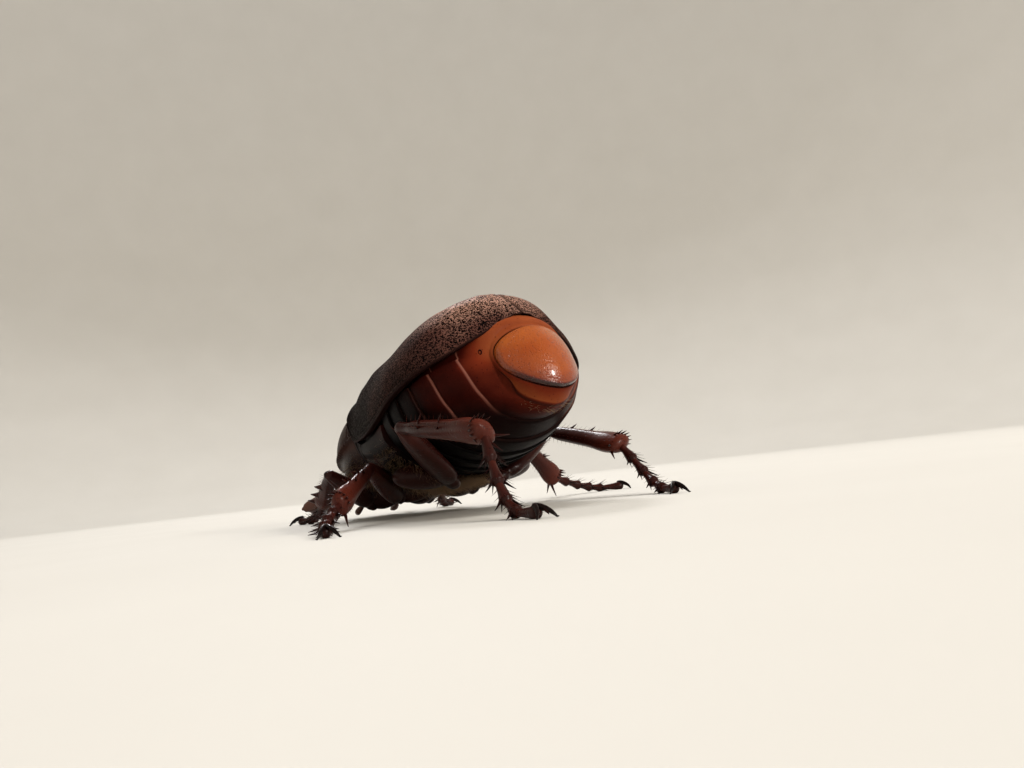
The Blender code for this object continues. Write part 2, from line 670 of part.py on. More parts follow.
def tibia_pieces(leg, knee, ankle, across, knee_plane, ankle_plane):
    """The shin, flared at its end, with its teeth, spines and two spurs."""
    width, thickness = TIBIA[leg]["width"], TIBIA[leg]["thickness"]
    sizes = [
        (0.0, 0.48, 0.42), (0.16, 0.46, 0.4), (0.4, width * 0.62, thickness * 0.8),
        (0.7, width * 0.78, thickness * 0.9), (0.92, width, thickness), (1.0, width * 0.9, thickness * 0.9),
    ]
    pieces = [loft(limb_rings(knee, ankle, across, sizes, knee_plane, ankle_plane, sides=12))]
    axis = (ankle - knee).normalized()
    wide = (across - axis * across.dot(axis)).normalized()
    thick = axis.cross(wide)
    long = (ankle - knee).length
    if leg == "fore":
        for share, size in ((0.42, 0.8), (0.68, 1.0), (0.9, 1.15)):
            root = knee.lerp(ankle, share) + wide * width * 0.25
            pieces.append(spike(root, wide + axis * 0.55, 1.15 * size, 0.38, sides=6, tip=0.2))
    else:
        for lean in (-0.8, 0.0, 0.8):
            root = knee.lerp(ankle, 0.55) + wide * width * 0.25
            pieces.append(spike(root, wide + thick * lean + axis * 0.8, 0.95, 0.19))
        for number in range(6):
            turn = math.pi * (0.1 + 0.8 * number / 5)
            out = wide * math.sin(turn) * width + thick * math.cos(turn) * thickness
            root = ankle - axis * 0.12 * long + out * 0.45
            pieces.append(spike(root, out.normalized() * 0.7 + axis, 1.15, 0.2))
    for lean in (-0.45, 0.45):
        root = ankle - axis * 0.1 * long - wide * width * 0.4
        pieces.append(spike(root, axis - wide * 0.75 + thick * lean, 1.75, 0.22))
    return pieces


def leg_of(name, floor_holder, body_holder, root_nodes):
    """One leg: coxa, femur, tibia and foot, each in its own node."""
    leg, word = name.split("_")
    side = 1 if word == "left" else -1
    stand, base = STANDS[name], COXAE[leg]
    block = ellipsoid(mirrored(base["centre"], side), base["radii"], segments=16, rings=8)
    coxa = new_object(f"coxa_{name}", mesh_of(f"coxa_{name}", block), "leg brown", body_holder)
    pare(coxa, *root_nodes)
    hip = STANCE @ Vector(mirrored(base["hip"], side))
    lean = Vector(stand["lean"])
    ankle = Vector(stand["ankle"])
    long_femur, long_tibia = FEMUR[leg]["length"], TIBIA[leg]["length"]
    if (ankle - hip).length > 0.97 * (long_femur + long_tibia):
        ankle = hip + (ankle - hip).normalized() * 0.97 * (long_femur + long_tibia)
    knee = knee_of(hip, ankle, long_femur, long_tibia, lean)
    thigh, shin = (knee - hip).normalized(), (ankle - knee).normalized()
    bend = thigh.cross(shin).normalized()
    mitre = (thigh + shin).normalized()
    half_gap = mitre * GAP / 2
    width, thickness = FEMUR[leg]["width"], FEMUR[leg]["thickness"]
    sizes = [
        (0.0, width * 0.5, thickness * 0.7), (0.1, width * 0.75, thickness * 0.85),
        (0.32, width, thickness), (0.6, width * 0.92, thickness),
        (0.84, width * 0.65, thickness * 0.85), (1.0, 0.46, 0.42),
    ]
    across = thigh.cross(bend)
    rings = limb_rings(hip, knee, across, sizes, last_plane=(knee - half_gap, mitre), sides=12)
    femur = new_object(f"femur_{name}", mesh_of(f"femur_{name}", loft(rings)), "leg brown", floor_holder)
    pare(femur, coxa, *root_nodes)
    heading, turn = stand["heading"], stand["turn"]
    if side < 0:
        heading, turn = 180 - heading, -turn
    course = math.radians(heading)
    foot_ahead = Vector((math.cos(course), math.sin(course), -0.5)).normalized()
    ankle_mitre = (shin + foot_ahead).normalized()
    outward = shin.cross(bend)
    pieces = tibia_pieces(
        leg, knee, ankle, outward if outward.z > 0 else -outward,
        (knee + half_gap, mitre), (ankle - ankle_mitre * GAP / 2, ankle_mitre),
    )
    tibia = fuse(f"tibia_{name}", pieces, "leg brown", floor_holder)
    foot_plane = (ankle + ankle_mitre * GAP / 2, ankle_mitre)
    foot = tarsus(f"tarsus_{name}", leg, ankle, foot_plane, heading, turn, floor_holder)
    pare(tibia, foot)
    pare(femur, tibia)
    return coxa, femur, tibia, foot


def centre_on_floor(root):
    """Moves everything sideways so that the origin is under the middle of the whole beetle."""
    bpy.context.view_layer.update()
    meshes = [thing for thing in bpy.context.scene.objects if thing.type == "MESH"]
    corners = [thing.matrix_world @ vertex.co for thing in meshes for vertex in thing.data.vertices]
    for axis in (0, 1):
        values = [corner[axis] for corner in corners]
        root.location[axis] = -(min(values) + max(values)) / 2


def build():
    for thing in list(bpy.data.objects):
        bpy.data.objects.remove(thing)
    root = bpy.data.objects.new("beetle", None)
    body = bpy.data.objects.new("body", None)
    for empty in (root, body):
        bpy.context.scene.collection.objects.link(empty)
    body.parent = root
    body.matrix_local = Matrix.Translation(STANCE.translation * MM) @ STANCE.to_3x3().to_4x4()
    bpy.context.view_layer.update()
    cases = [wing_case("elytron_left", 1, body), wing_case("elytron_right", -1, body)]
    scutellum(body)
    middle = pare(thorax(body), *cases)
    rear = pare(abdomen(body), *cases)
    pygidium(body)
    front = prothorax(body)
    skull = head(body)
    pare(front, skull)
    eyes = [eye("eye_left", 1, body), eye("eye_right", -1, body)]
    pare(skull, *eyes)
    pare(front, *eyes)
    for side in (1, -1):
        stem, club = feeler(side, body)
        pare(stem, skull)
        pare(club, stem)
        pare(palp(side, body), skull)
    for name in STANDS:
        leg = name.split("_")[0]
        nodes = {"fore": (front,), "mid": (middle,), "hind": (middle, rear)}[leg]
        leg_of(name, root, body, nodes)
    centre_on_floor(root)


build()
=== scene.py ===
"""The looks of a life-size lepidiota scarab beetle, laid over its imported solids.

Lengths are in millimetres until a mesh is placed. The body is drawn in the beetle's own frame, where
+X is its left side, +Y runs from head to tail and +Z is up. The legs are drawn in the standing frame,
where the floor is at Z = 0.
"""
import math

import bpy
import numpy as np
from mathutils import Matrix, Vector


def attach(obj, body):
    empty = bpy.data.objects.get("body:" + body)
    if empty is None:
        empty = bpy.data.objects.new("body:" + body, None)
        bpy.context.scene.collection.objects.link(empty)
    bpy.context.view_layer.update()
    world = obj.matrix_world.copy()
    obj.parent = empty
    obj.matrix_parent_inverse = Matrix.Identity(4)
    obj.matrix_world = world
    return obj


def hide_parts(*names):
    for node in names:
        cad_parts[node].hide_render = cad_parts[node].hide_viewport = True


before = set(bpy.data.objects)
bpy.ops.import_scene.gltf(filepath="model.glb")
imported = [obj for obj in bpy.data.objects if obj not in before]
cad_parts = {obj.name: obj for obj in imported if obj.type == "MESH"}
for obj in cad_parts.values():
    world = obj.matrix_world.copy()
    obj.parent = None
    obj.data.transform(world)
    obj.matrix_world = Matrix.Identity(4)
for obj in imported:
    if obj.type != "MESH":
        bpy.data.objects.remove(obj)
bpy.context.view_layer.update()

# Floor, light and camera
# A pale matt floor that curves up into a backdrop all the way round, like the bowl of a studio table,
# lit by large soft lamps. The camera looks up along the floor at the beetle's rear left.

FLOOR_RADIUS = 0.3
WALL_HEIGHT = 0.5
WALL_STEPS = 14
LAMP_AIM = Vector((0, 0, 0.006))


def plug(tree, made, sockets):
    """Sets a node's sockets to values, or feeds them from other sockets."""
    for name, value in sockets.items():
        if isinstance(value, bpy.types.NodeSocket):
            tree.links.new(value, made.inputs[name])
        else:
            made.inputs[name].default_value = value


def node(tree, kind, sockets=None, **settings):
    """A shader node with its settings, and its sockets set or fed."""
    made = tree.nodes.new(kind)
    for name, value in settings.items():
        setattr(made, name, value)
    plug(tree, made, sockets or {})
    return made


def new_finish(name):
    """An empty material and its node tree, with the shader ready in it."""
    finish = bpy.data.materials.new(name)
    finish.use_nodes = True
    return finish, finish.node_tree, finish.node_tree.nodes["Principled BSDF"]


def place_on(tree):
    """The place on the surface, in the piece's own coordinates."""
    return node(tree, "ShaderNodeTexCoord").outputs["Object"]


def noise(tree, scale, detail, **more):
    """Soft noise all over a piece."""
    sockets = {"Vector": place_on(tree), "Scale": scale, "Detail": detail, **more}
    return node(tree, "ShaderNodeTexNoise", sockets).outputs["Fac"]


def blend(tree, share, low, high, **settings):
    """The low colour where the share is 0 and the high one where it is 1."""
    low, high = (end if isinstance(end, bpy.types.NodeSocket) else (*end, 1) for end in (low, high))
    sockets = {"Factor": share, 6: low, 7: high}
    return node(tree, "ShaderNodeMix", sockets, data_type="RGBA", **settings).outputs[2]


bpy.ops.object.select_all(action="DESELECT")
bpy.ops.mesh.primitive_circle_add(vertices=96, radius=FLOOR_RADIUS, fill_type="NOTHING")
floor = bpy.context.object
floor.name = "floor"
bpy.ops.object.mode_set(mode="EDIT")
bpy.ops.mesh.select_mode(type="VERT")
radius, height = FLOOR_RADIUS, 0.0
for step in range(1, WALL_STEPS + 1):
    slope = math.radians(min(18 * step, 90))
    rise = WALL_HEIGHT / WALL_STEPS * math.sin(slope)
    wider = (radius + WALL_HEIGHT / WALL_STEPS * math.cos(slope)) / radius
    bpy.ops.mesh.extrude_edges_move(TRANSFORM_OT_translate={"value": (0, 0, rise)})
    bpy.ops.transform.resize(value=(wider, wider, 1))
    radius *= wider
bpy.ops.mesh.select_all(action="DESELECT")
bpy.ops.object.mode_set(mode="OBJECT")
for vertex in floor.data.vertices:
    vertex.select = vertex.co.z < 1e-6
bpy.ops.object.mode_set(mode="EDIT")
bpy.ops.mesh.edge_face_add()
bpy.ops.mesh.select_all(action="SELECT")
bpy.ops.mesh.normals_make_consistent(inside=True)
bpy.ops.object.mode_set(mode="OBJECT")
bpy.ops.object.shade_smooth_by_angle(angle=math.radians(30))
floor_finish, tree, shader = new_finish("pale matt floor")
speckle = blend(tree, noise(tree, 60.0, 5.0), (0.48, 0.455, 0.41), (0.52, 0.495, 0.45))
plug(tree, shader, {"Base Color": speckle, "Roughness": 0.8})
floor.data.materials.append(floor_finish)


def soft_light(name, place, size, power, colour, mirrored=True):
    """A round soft lamp that faces the beetle. One that isn't mirrored leaves no spot on polished horn."""
    bpy.ops.object.light_add(type="AREA", location=place)
    lamp = bpy.context.object
    lamp.name = name
    lamp.data.shape = "DISK"
    lamp.data.size = size
    lamp.visible_glossy = mirrored
    lamp.data.energy = power
    lamp.data.color = colour
    lamp.rotation_euler = (LAMP_AIM - Vector(place)).to_track_quat("-Z", "Y").to_euler()


soft_light("key light", (-0.045, 0.27, 0.108), 0.035, 0.42, (1.0, 0.96, 0.9))
soft_light("broad light", (-0.16, 0.2, 0.3), 0.16, 0.85, (1.0, 0.97, 0.93), mirrored=False)
soft_light("rim light", (-0.1, -0.22, 0.24), 0.05, 0.5, (0.98, 0.98, 1.0))
soft_light("sky light", (-0.05, -0.1, 0.95), 0.6, 6.0, (0.97, 0.98, 1.0), mirrored=False)

world = bpy.data.worlds.new("studio air")
bpy.context.scene.world = world
bpy.context.scene.view_settings.view_transform = "Standard"
world.use_nodes = True
air = world.node_tree.nodes["Background"]
plug(world.node_tree, air, {"Color": (0.93, 0.91, 0.88, 1), "Strength": 0.22})

bpy.ops.object.camera_add(
    location=(0.032852, 0.048286, 0.00221),
    rotation=[math.radians(turn) for turn in (95.8656, 6.3667, 146.4658)],
)
camera = bpy.context.object
camera.name = "camera"
camera.data.lens = 28.125
camera.data.sensor_width = 36.0
camera.data.shift_x = 0.0389
camera.data.shift_y = 0.0131
camera.data.clip_start = 0.001
bpy.context.scene.camera = camera

# Thorax under the wing cases
# The hard box between the collar and the abdomen, which carries the middle and hind legs. It is dark
# horn plates grown together, and their joints show as fine sunk lines on its sides and underneath.

MM = 0.001
STANDING = Matrix.Translation((1.5594, -0.5041, 0))
BODY = STANDING @ Matrix.Translation((0, 0, 2.1)) @ Matrix.Rotation(math.radians(13.5), 4, "X")
SMOOTH_ANGLE = math.radians(50)
THORAX = [
    (-5.45, 5.0, 5.9, 1.5, 8.7, 0.35), (-4.0, 5.3, 4.75, 0.8, 8.9, 0.6), (-1.5, 5.9, 4.05, 0.2, 9.4, 0.65),
    (0.5, 6.2, 4.0, 0.0, 9.7, 0.65), (1.9, 6.45, 4.05, 0.0, 9.8, 0.65),
]
THORAX_JOINT_DEPTH = 0.17
SIDE_FOLD = 0.12
THORAX_SWELL = 0.12
HORN_CLOUD = 0.3
# Dark colour for the sunk joints, and for painted shade in the groove round the rear plate and along its
# lower edge.
DARK_EDGE = (0.012, 0.004, 0.003)


def hermite(places, values, at):
    """Values of a smooth curve through the given ones, at the places asked for."""
    slope = np.gradient(values, places, axis=0)
    i = np.clip(np.searchsorted(places, at, side="right") - 1, 0, len(places) - 2)
    step = (places[i + 1] - places[i])[:, None]
    s = (at - places[i])[:, None] / step
    rise = (2 * s**3 - 3 * s**2 + 1) * values[i] + (3 * s**2 - 2 * s**3) * values[i + 1]
    return rise + (s**3 - 2 * s**2 + s) * step * slope[i] + (s**3 - s**2) * step * slope[i + 1]


def smooth_curve(points, count):
    """Evenly spread points on a smooth curve through the given ones."""
    points = np.array(points, float)
    along = np.r_[0, np.cumsum(np.linalg.norm(np.diff(points, axis=0), axis=1))]
    return hermite(along, points, np.linspace(0, along[-1], count))


def at_stations(table, places):
    """Rows of a station table, smoothly read at other places along its first column."""
    table = np.array(sorted(table), float)
    return hermite(table[:, 0], table[:, 1:], np.array(places, float))


def ease(low, high, value):
    """0 below the low value, 1 above the high one, and smooth in between."""
    share = np.clip((np.asarray(value, float) - low) / (high - low), 0, 1)
    return share * share * (3 - 2 * share)


def dip(distance, width):
    """1 on a line and fading to 0 at about twice the width away from it."""
    return np.exp(-((distance / width) ** 2))


def core_ring(y, half, side_z, bottom, top, ledge, point=1.0, low=33, high=17):
    """A closed ring round the body: from the belly up the left side, over the top and down the right."""
    down = np.linspace(-math.pi / 2, 0, low)
    up = np.linspace(0, math.pi / 2, high)
    fold = side_z + SIDE_FOLD
    left = [(half * max(math.cos(t), 0) ** point, y, side_z + (side_z - bottom) * math.sin(t)) for t in down]
    left += [((half - ledge) * math.cos(t), y, fold + (top - fold) * math.sin(t)) for t in up]
    left[0] = (0.0, y, bottom)
    left[-1] = (0.0, y, top)
    return np.array(left + [(-x, y, z) for x, y, z in reversed(left[1:-1])])


def unit(vectors):
    """The same directions, each with a length of 1."""
    return vectors / (np.linalg.norm(vectors, axis=-1, keepdims=True) + 1e-12)


def outward_normals(points):
    """The directions that stand out from a closed sleeve of points."""
    across = np.roll(points, -1, 1) - np.roll(points, 1, 1)
    normal = unit(np.cross(across, np.gradient(points, axis=0)))
    return normal * np.sign((normal * (points - points.mean(1, keepdims=True))).sum())


def push(points, lift):
    """Points of a closed sleeve moved along its normals, outwards where the lift is above 0."""
    return points + outward_normals(points) * np.asarray(lift)[..., None]


def with_ends(mask, before, after):
    """A mask with its first and last rows repeated for the rings that close a sleeve."""
    return np.pad(mask, ((before, after), (0, 0)), mode="edge")


def stood(points, place):
    """Points put in their place, in metres, and none of them below the floor."""
    turn = np.array(place)
    placed = (np.reshape(points, (-1, 3)) @ turn[:3, :3].T + turn[:3, 3]) * MM
    placed[:, 2] = np.maximum(placed[:, 2], 0)
    return placed


def paint(mesh, word, values):
    """A named mask on the points of a mesh, for its finish to read."""
    spread = np.ones(len(mesh.vertices), np.float32) * np.asarray(values, np.float32).ravel()
    mesh.attributes.new(word, "FLOAT", "POINT").data.foreach_set("value", spread)


def skin(name, points, place, masks=None):
    """A closed mesh through rings of points, drawn from a grid, with both its ends filled."""
    points = np.concatenate((points, points[:, :1]), axis=1)
    rows, columns = points.shape[:2]
    bpy.ops.object.select_all(action="DESELECT")
    bpy.ops.mesh.primitive_grid_add(x_subdivisions=columns - 1, y_subdivisions=rows - 1)
    piece = bpy.context.object
    piece.name = name
    piece.data.vertices.foreach_set("co", stood(points, place).ravel())
    for word, mask in (masks or {}).items():
        paint(piece.data, word, np.concatenate((mask, mask[:, :1]), axis=1))
    bpy.ops.object.mode_set(mode="EDIT")
    bpy.ops.mesh.select_all(action="SELECT")
    bpy.ops.mesh.remove_doubles(threshold=1e-6)
    bpy.ops.mesh.fill_holes(sides=0)
    bpy.ops.mesh.normals_make_consistent(inside=False)
    bpy.ops.object.mode_set(mode="OBJECT")
    bpy.ops.object.shade_smooth_by_angle(angle=SMOOTH_ANGLE)
    return piece


def merge(name, pieces):
    """Several pieces joined into one mesh."""
    bpy.ops.object.select_all(action="DESELECT")
    for piece in pieces:
        piece.select_set(True)
    bpy.context.view_layer.objects.active = pieces[0]
    bpy.ops.object.join()
    pieces[0].name = name
    return pieces[0]


def dress(piece, finish, slot, *nodes):
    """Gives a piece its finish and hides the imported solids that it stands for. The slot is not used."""
    piece.data.materials.clear()
    piece.data.materials.append(finish)
    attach(piece, "root")
    if nodes:
        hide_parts(*nodes)
    return piece


def mask_of(tree, word):
    """The mask that paint left on a piece under this name."""
    return node(tree, "ShaderNodeAttribute", attribute_name=word).outputs["Fac"]


def figure(tree, operation, *values):
    """The result of one step of arithmetic on sockets and numbers."""
    return node(tree, "ShaderNodeMath", dict(enumerate(values)), operation=operation).outputs[0]


def fit(tree, value, start, end, low=0.0, high=1.0, way="LINEAR"):
    """Start where the value is low and end where it is high, and even in between."""
    sockets = {"Value": value, "From Min": low, "From Max": high, "To Min": start, "To Max": end}
    return node(tree, "ShaderNodeMapRange", sockets, interpolation_type=way).outputs["Result"]


def colour_run(tree, share, stops):
    """The colour at a share of the way along stops, each a place and its colour."""
    ramp = node(tree, "ShaderNodeValToRGB", {"Fac": share})
    points = ramp.color_ramp.elements
    while len(points) < len(stops):
        points.new(0.5)
    for point, (at, colour) in zip(points, stops):
        point.position = at
        point.color = (*colour, 1)
    return ramp.outputs["Color"]


def relief(tree, height, depth, strength=1.0, **settings):
    """The normals of a height, which is as deep as this in millimetres."""
    sockets = {"Height": height, "Strength": strength, "Distance": depth * MM}
    return node(tree, "ShaderNodeBump", sockets, **settings).outputs["Normal"]


def horn_grain():
    """Shared by every horn plate: cloudy tone, set-in pores and a fine leathery height."""
    group = bpy.data.node_groups.new("horn grain", "ShaderNodeTree")
    for word in ("Pore Scale", "Pore Size", "Grain Scale"):
        group.interface.new_socket(name=word, in_out="INPUT", socket_type="NodeSocketFloat")
    for word in ("Tone", "Pores", "Height"):
        group.interface.new_socket(name=word, in_out="OUTPUT", socket_type="NodeSocketFloat")
    given = node(group, "NodeGroupInput").outputs
    cells = node(group, "ShaderNodeTexVoronoi", {"Vector": place_on(group), "Scale": given["Pore Scale"]})
    edge = figure(group, "MULTIPLY", given["Pore Size"], 0.12)
    pores = fit(group, cells.outputs["Distance"], 1.0, 0.0, edge, given["Pore Size"], "SMOOTHSTEP")
    height = figure(group, "SUBTRACT", noise(group, given["Grain Scale"], 3.0), pores)
    cloud = noise(group, 420.0, 4.0, Roughness=0.6)
    plug(group, node(group, "NodeGroupOutput"), {"Tone": cloud, "Pores": pores, "Height": height})
    return group


GRAIN = horn_grain()


def horn(
    name, stops, pore_scale, pore_size, depth, rough, coat,
    seam=(0.5, 0.2, 0.14), grain=5200.0, pore_tint=(0.35, 0.3, 0.3), shine=0.3,
):
    """Polished horn: its colour runs along the stops with the piece's warm mask and the cloudy tone."""
    finish, tree, shader = new_finish(name)
    scales = {"Pore Scale": pore_scale, "Pore Size": pore_size, "Grain Scale": grain}
    surface = node(tree, "ShaderNodeGroup", scales, node_tree=GRAIN).outputs
    warm = figure(tree, "MULTIPLY_ADD", surface["Tone"], HORN_CLOUD, mask_of(tree, "warm"))
    colour = colour_run(tree, figure(tree, "SUBTRACT", warm, HORN_CLOUD / 2), stops)
    colour = blend(tree, surface["Pores"], colour, pore_tint, blend_type="MULTIPLY")
    colour = blend(tree, mask_of(tree, "seam"), colour, seam)
    plug(tree, shader, {
        "Base Color": blend(tree, mask_of(tree, "edge"), colour, DARK_EDGE),
        "Roughness": fit(tree, surface["Tone"], rough - 0.08, rough + 0.1),
        "Coat Weight": coat,
        "Coat Roughness": 0.1,
        "Specular IOR Level": shine,
        "Normal": relief(tree, surface["Height"], depth),
    })
    return finish


def thorax_points():
    """The thorax's outside, with the sunk joints of its plates, tucked in at both ends."""
    places = np.linspace(THORAX[0][0], THORAX[-1][0], 76)
    table = at_stations(THORAX, places)
    grid = np.array([core_ring(y, *row) for y, row in zip(places, table)])
    x, y, z = np.abs(grid[..., 0]), grid[..., 1], grid[..., 2]
    side_z = table[:, 1][:, None]
    lower = side_z - 1.45 - 0.12 * (y + 1)
    upright = ease(-1.0, 0.4, side_z - z + 0.2)
    lines = dip(z - lower, 0.13) * ease(-4.2, -3.2, y)
    lines = np.maximum(lines, dip(y + 3.35 + 0.45 * (side_z - z), 0.13) * upright * (z > lower - 1.6))
    lines = np.maximum(lines, dip(y + 4.75 + 0.1 * (side_z - z), 0.12) * upright)
    lines = np.maximum(lines, dip(x, 0.14) * (z < 2) * ease(-3.0, -2.0, y))
    swell = THORAX_SWELL * dip(z - lower - 0.75, 0.5) * ease(-4.0, -3.0, y)
    grid = push(grid, swell - THORAX_JOINT_DEPTH * lines)
    front, back = grid[0] * (0.8, 1, 0.8) + (0, 0.25, 1.0), grid[-1] * (0.9, 1, 0.9) + (0, 0.35, 0.5)
    warm = 0.12 + 0.3 * ease(-2, 2.5, y) * ease(0.5, 4.5, z)
    masks = {"warm": with_ends(warm, 1, 1), "edge": with_ends(lines, 1, 1) * 0.6}
    return np.concatenate((front[None], grid, back[None])), masks


THORAX_GRID, thorax_masks = thorax_points()
BELLY_HORN = horn(
    "belly horn",
    [(0.0, (0.001, 0.0006, 0.0006)), (0.3, (0.0055, 0.0011, 0.0009)), (0.55, (0.042, 0.0045, 0.0022)),
     (0.8, (0.13, 0.018, 0.006)), (1.0, (0.21, 0.048, 0.015))],
    pore_scale=3400.0, pore_size=0.2, depth=0.012, rough=0.42, coat=0.0, seam=(0.23, 0.085, 0.06), shine=0.03,
)
dress(skin("thorax_plates", THORAX_GRID, BODY, thorax_masks), BELLY_HORN, "belly", "thorax")

# Abdomen
# Belly plates that overlap like tiles, each proudest at its hind edge, with pale soft skin in the
# joints. The last ones turn up round the rear plate. Mahogany horn, polished, redder to the rear.
# Painted shade darkens the front and the underside and leaves the front joints dark, painted light
# brightens the upper rear wall under the wing case tips, and painted shade darkens the groove round
# the rear plate.

ABDOMEN = [
    (2.2, 6.4, 4.3, 0.0, 9.6, 0.45), (5.0, 6.55, 4.7, 0.05, 9.5, 0.45), (8.0, 6.1, 5.0, 0.35, 9.0, 0.4),
    (9.5, 5.3, 5.2, 0.85, 8.5, 0.25), (10.4, 4.6, 5.3, 1.2, 8.1, 0.1),
]
BELLY_PLATE_EDGES = (2.2, 3.5, 5.2, 6.9, 8.6, 10.4)
PLATE_SHARES = (0.0, 0.02, 0.05, 0.09, 0.15, 0.25, 0.4, 0.55, 0.7, 0.82, 0.9, 0.95, 0.98, 1.0)
PLATE_LIPS = (-0.05, -0.03, 0.0, 0.02, 0.035, 0.055, 0.08, 0.105, 0.13, 0.145, 0.155, 0.155, 0.13, 0.06)
PLATE_SEAMS = (0.9, 0.35, 0.0, 0.0, 0.0, 0.0, 0.0, 0.0, 0.0, 0.0, 0.0, 0.0, 0.0, 0.5)
# How pale each plate's joints are, front to back: the front ones are left dark as painted shade.
SEAM_PALENESS = (0.0, 0.0, 0.05, 0.15, 0.85, 1.0)
REAR_TOP = (11.87, 6.55)
REAR_LEAN = math.tan(math.radians(13.5))
REAR_BEND = 0.125
REAR_HALF_WIDTH = 2.9
REAR_WIDEST_Z = 4.7
REAR_BOTTOM_Z = 2.0
REAR_RIM_STEPS = (
    (1.045, -0.62, 0.66), (1.05, -0.48, 0.54), (1.052, -0.32, 0.4), (1.05, -0.14, 0.24), (1.045, 0.04, 0.11),
    (1.035, 0.13, 0.05), (1.02, 0.15, 0.02), (1.006, 0.08, 0.0),
)
SEAM_LEAN = 0.66
SEAM_ARCH = 0.4
SEAM_DROP = 0.4


def rear_ring(scale, out, drop=0.0):
    """The rear plate's outline, drawn in towards its middle, moved out from its back and let down below."""
    ring = core_ring(0, REAR_HALF_WIDTH, REAR_WIDEST_Z, REAR_BOTTOM_Z, REAR_TOP[1], 0, point=1.15)
    middle = (0, 0, REAR_WIDEST_Z - 0.6)
    ring = (ring - middle) * scale + middle
    low = np.clip((REAR_WIDEST_Z - ring[:, 2]) / (REAR_WIDEST_Z - REAR_BOTTOM_Z), 0, None)
    lean = (REAR_TOP[1] - ring[:, 2]) * REAR_LEAN - REAR_BEND * ring[:, 0] ** 2
    ring[:, 1] = REAR_TOP[0] + lean + out - 0.35 * drop * low
    ring[:, 2] -= drop * low
    return ring


def rear_wall_ring(scale, out, drop, rise):
    """A ring of the wall round the rear plate: sunk below the plate, and level with its rim above."""
    ring = rear_ring(scale, out, drop)
    upper = ease(2.1, 3.7, ring[:, 2])
    ring[:, 1] += upper * max(-out, 0) * 0.92
    ring[:, 0] *= 1 - 0.3 * max(drop - 0.1, 0) * np.sin(math.pi * ease(1.6, 4.6, ring[:, 2]))
    ring[:, 2] += rise * ease(5.2, 6.4, ring[:, 2])
    return ring


def belly_ring(y, lip):
    """A ring of the belly plates, raised by the lip, that leans forwards up its sides."""
    half, side_z, bottom, top, ledge = at_stations(ABDOMEN, [y])[0]
    ring = core_ring(y, half + lip, side_z, bottom - lip, top, ledge + lip)
    z = ring[:, 2]
    lean = 0.36 + SEAM_LEAN * ease(2.2, 6.8, z)
    lean += SEAM_DROP * ease(2.8, 1.5, z) - SEAM_ARCH * dip(z - 4.4, 1.3)
    ring[:, 1] -= ease(3.0, 7.0, y) * ease(7.6, 6.2, z) * lean
    return ring


def abdomen_points():
    """Rings from the hidden front end, over the belly plates, to the rim round the rear plate."""
    rings, seams = [belly_ring(2.2, -0.05) * (0.88, 1, 0.88) + (0, -0.7, 0.6)], [0.0]
    for number, (front, back) in enumerate(zip(BELLY_PLATE_EDGES, BELLY_PLATE_EDGES[1:])):
        for share, lip, seam in zip(PLATE_SHARES, PLATE_LIPS, PLATE_SEAMS):
            rings.append(belly_ring(front + (back - front) * share, lip))
            seams.append(seam * SEAM_PALENESS[number + (share > 0.5)])
    last = belly_ring(BELLY_PLATE_EDGES[-1], 0.0)
    plate = rear_wall_ring(1.035, -0.7, 0.7, 0.4)
    for share in np.linspace(0.02, 0.97, 34):
        bulge = 1.0 + 0.035 * math.sin(math.pi * share)
        ring = (last + (plate - last) * share - (0, 0, 4)) * (bulge, 1, bulge) + (0, 0, 4)
        early = 1 - (1 - share) ** 1.75 - share
        ring[:, 1] += (plate[:, 1] - last[:, 1]) * early * ease(5.0, 6.9, ring[:, 2])
        rings.append(ring)
        seams.append(0.8 * float(dip(share - 0.02, 0.02)))
    last_step = len(REAR_RIM_STEPS) - 1
    for number, (scale, out, drop) in enumerate(REAR_RIM_STEPS):
        rings.append(rear_wall_ring(scale, out, drop, 0.38 * (1 - number / last_step) ** 1.5))
        seams.append(0.0)
    for scale in (1.0, 0.8, 0.4, 0.05):
        rings.append(rear_ring(scale, -0.35))
        seams.append(0.0)
    grid = np.array(rings)
    y, z = grid[..., 1], grid[..., 2]
    # The colour runs redder to the rear as the horn does. On top of that, painted shade darkens the front and
    # the underside, and painted light brightens the upper rear wall under the wing case tips.
    warm = 0.04 + 0.42 * ease(4.0, 9.0, y) + 0.2 * ease(9.2, 11.2, y)
    warm += 0.3 * ease(3.6, 5.6, z) * ease(9.6, 11.2, y)
    warm -= 0.22 * ease(3.6, 0.6, z) * ease(12.6, 10.5, y)
    lateral = ease(1.5, 3.0, z)
    seam = np.array(seams)[:, None] * (0.04 + 0.96 * lateral)
    edge = np.zeros_like(warm)
    # Painted shade: the last rings, in the groove round the rear plate and under it, are dark.
    edge[-6:] = np.array((0.35, 0.9, 1.0, 1.0, 1.0, 1.0))[:, None]
    low = ease(4.6, 3.4, z)
    crescent = -len(REAR_RIM_STEPS) - 4
    edge[crescent - 1 : crescent + 1] = 0.6 * low[crescent - 1 : crescent + 1]
    inner = slice(crescent + 1, -5)
    warm[inner] += np.linspace(0.34, 0.0, len(warm[inner]))[:, None] * low[inner]
    return grid, {"warm": warm, "seam": seam, "edge": edge}


ABDOMEN_GRID, abdomen_masks = abdomen_points()
dress(skin("abdomen_plates", ABDOMEN_GRID, BODY, abdomen_masks), BELLY_HORN, "belly", "abdomen")

# Breathing holes
# One small oval breathing hole on each side of the last back plate. Its raised rim is the same horn
# as the plate and has grown as one with it.

HOLE_PLACE = (3.3, 10.6, 5.45)
HOLE_RADIUS = 0.14
HOLE_RIM_RADIUS = 0.045
SIDES = ((1, "left"), (-1, "right"))


def sided(point, side):
    """A point of the left side, or its mirror image where the side is -1."""
    return (side * point[0], *point[1:])


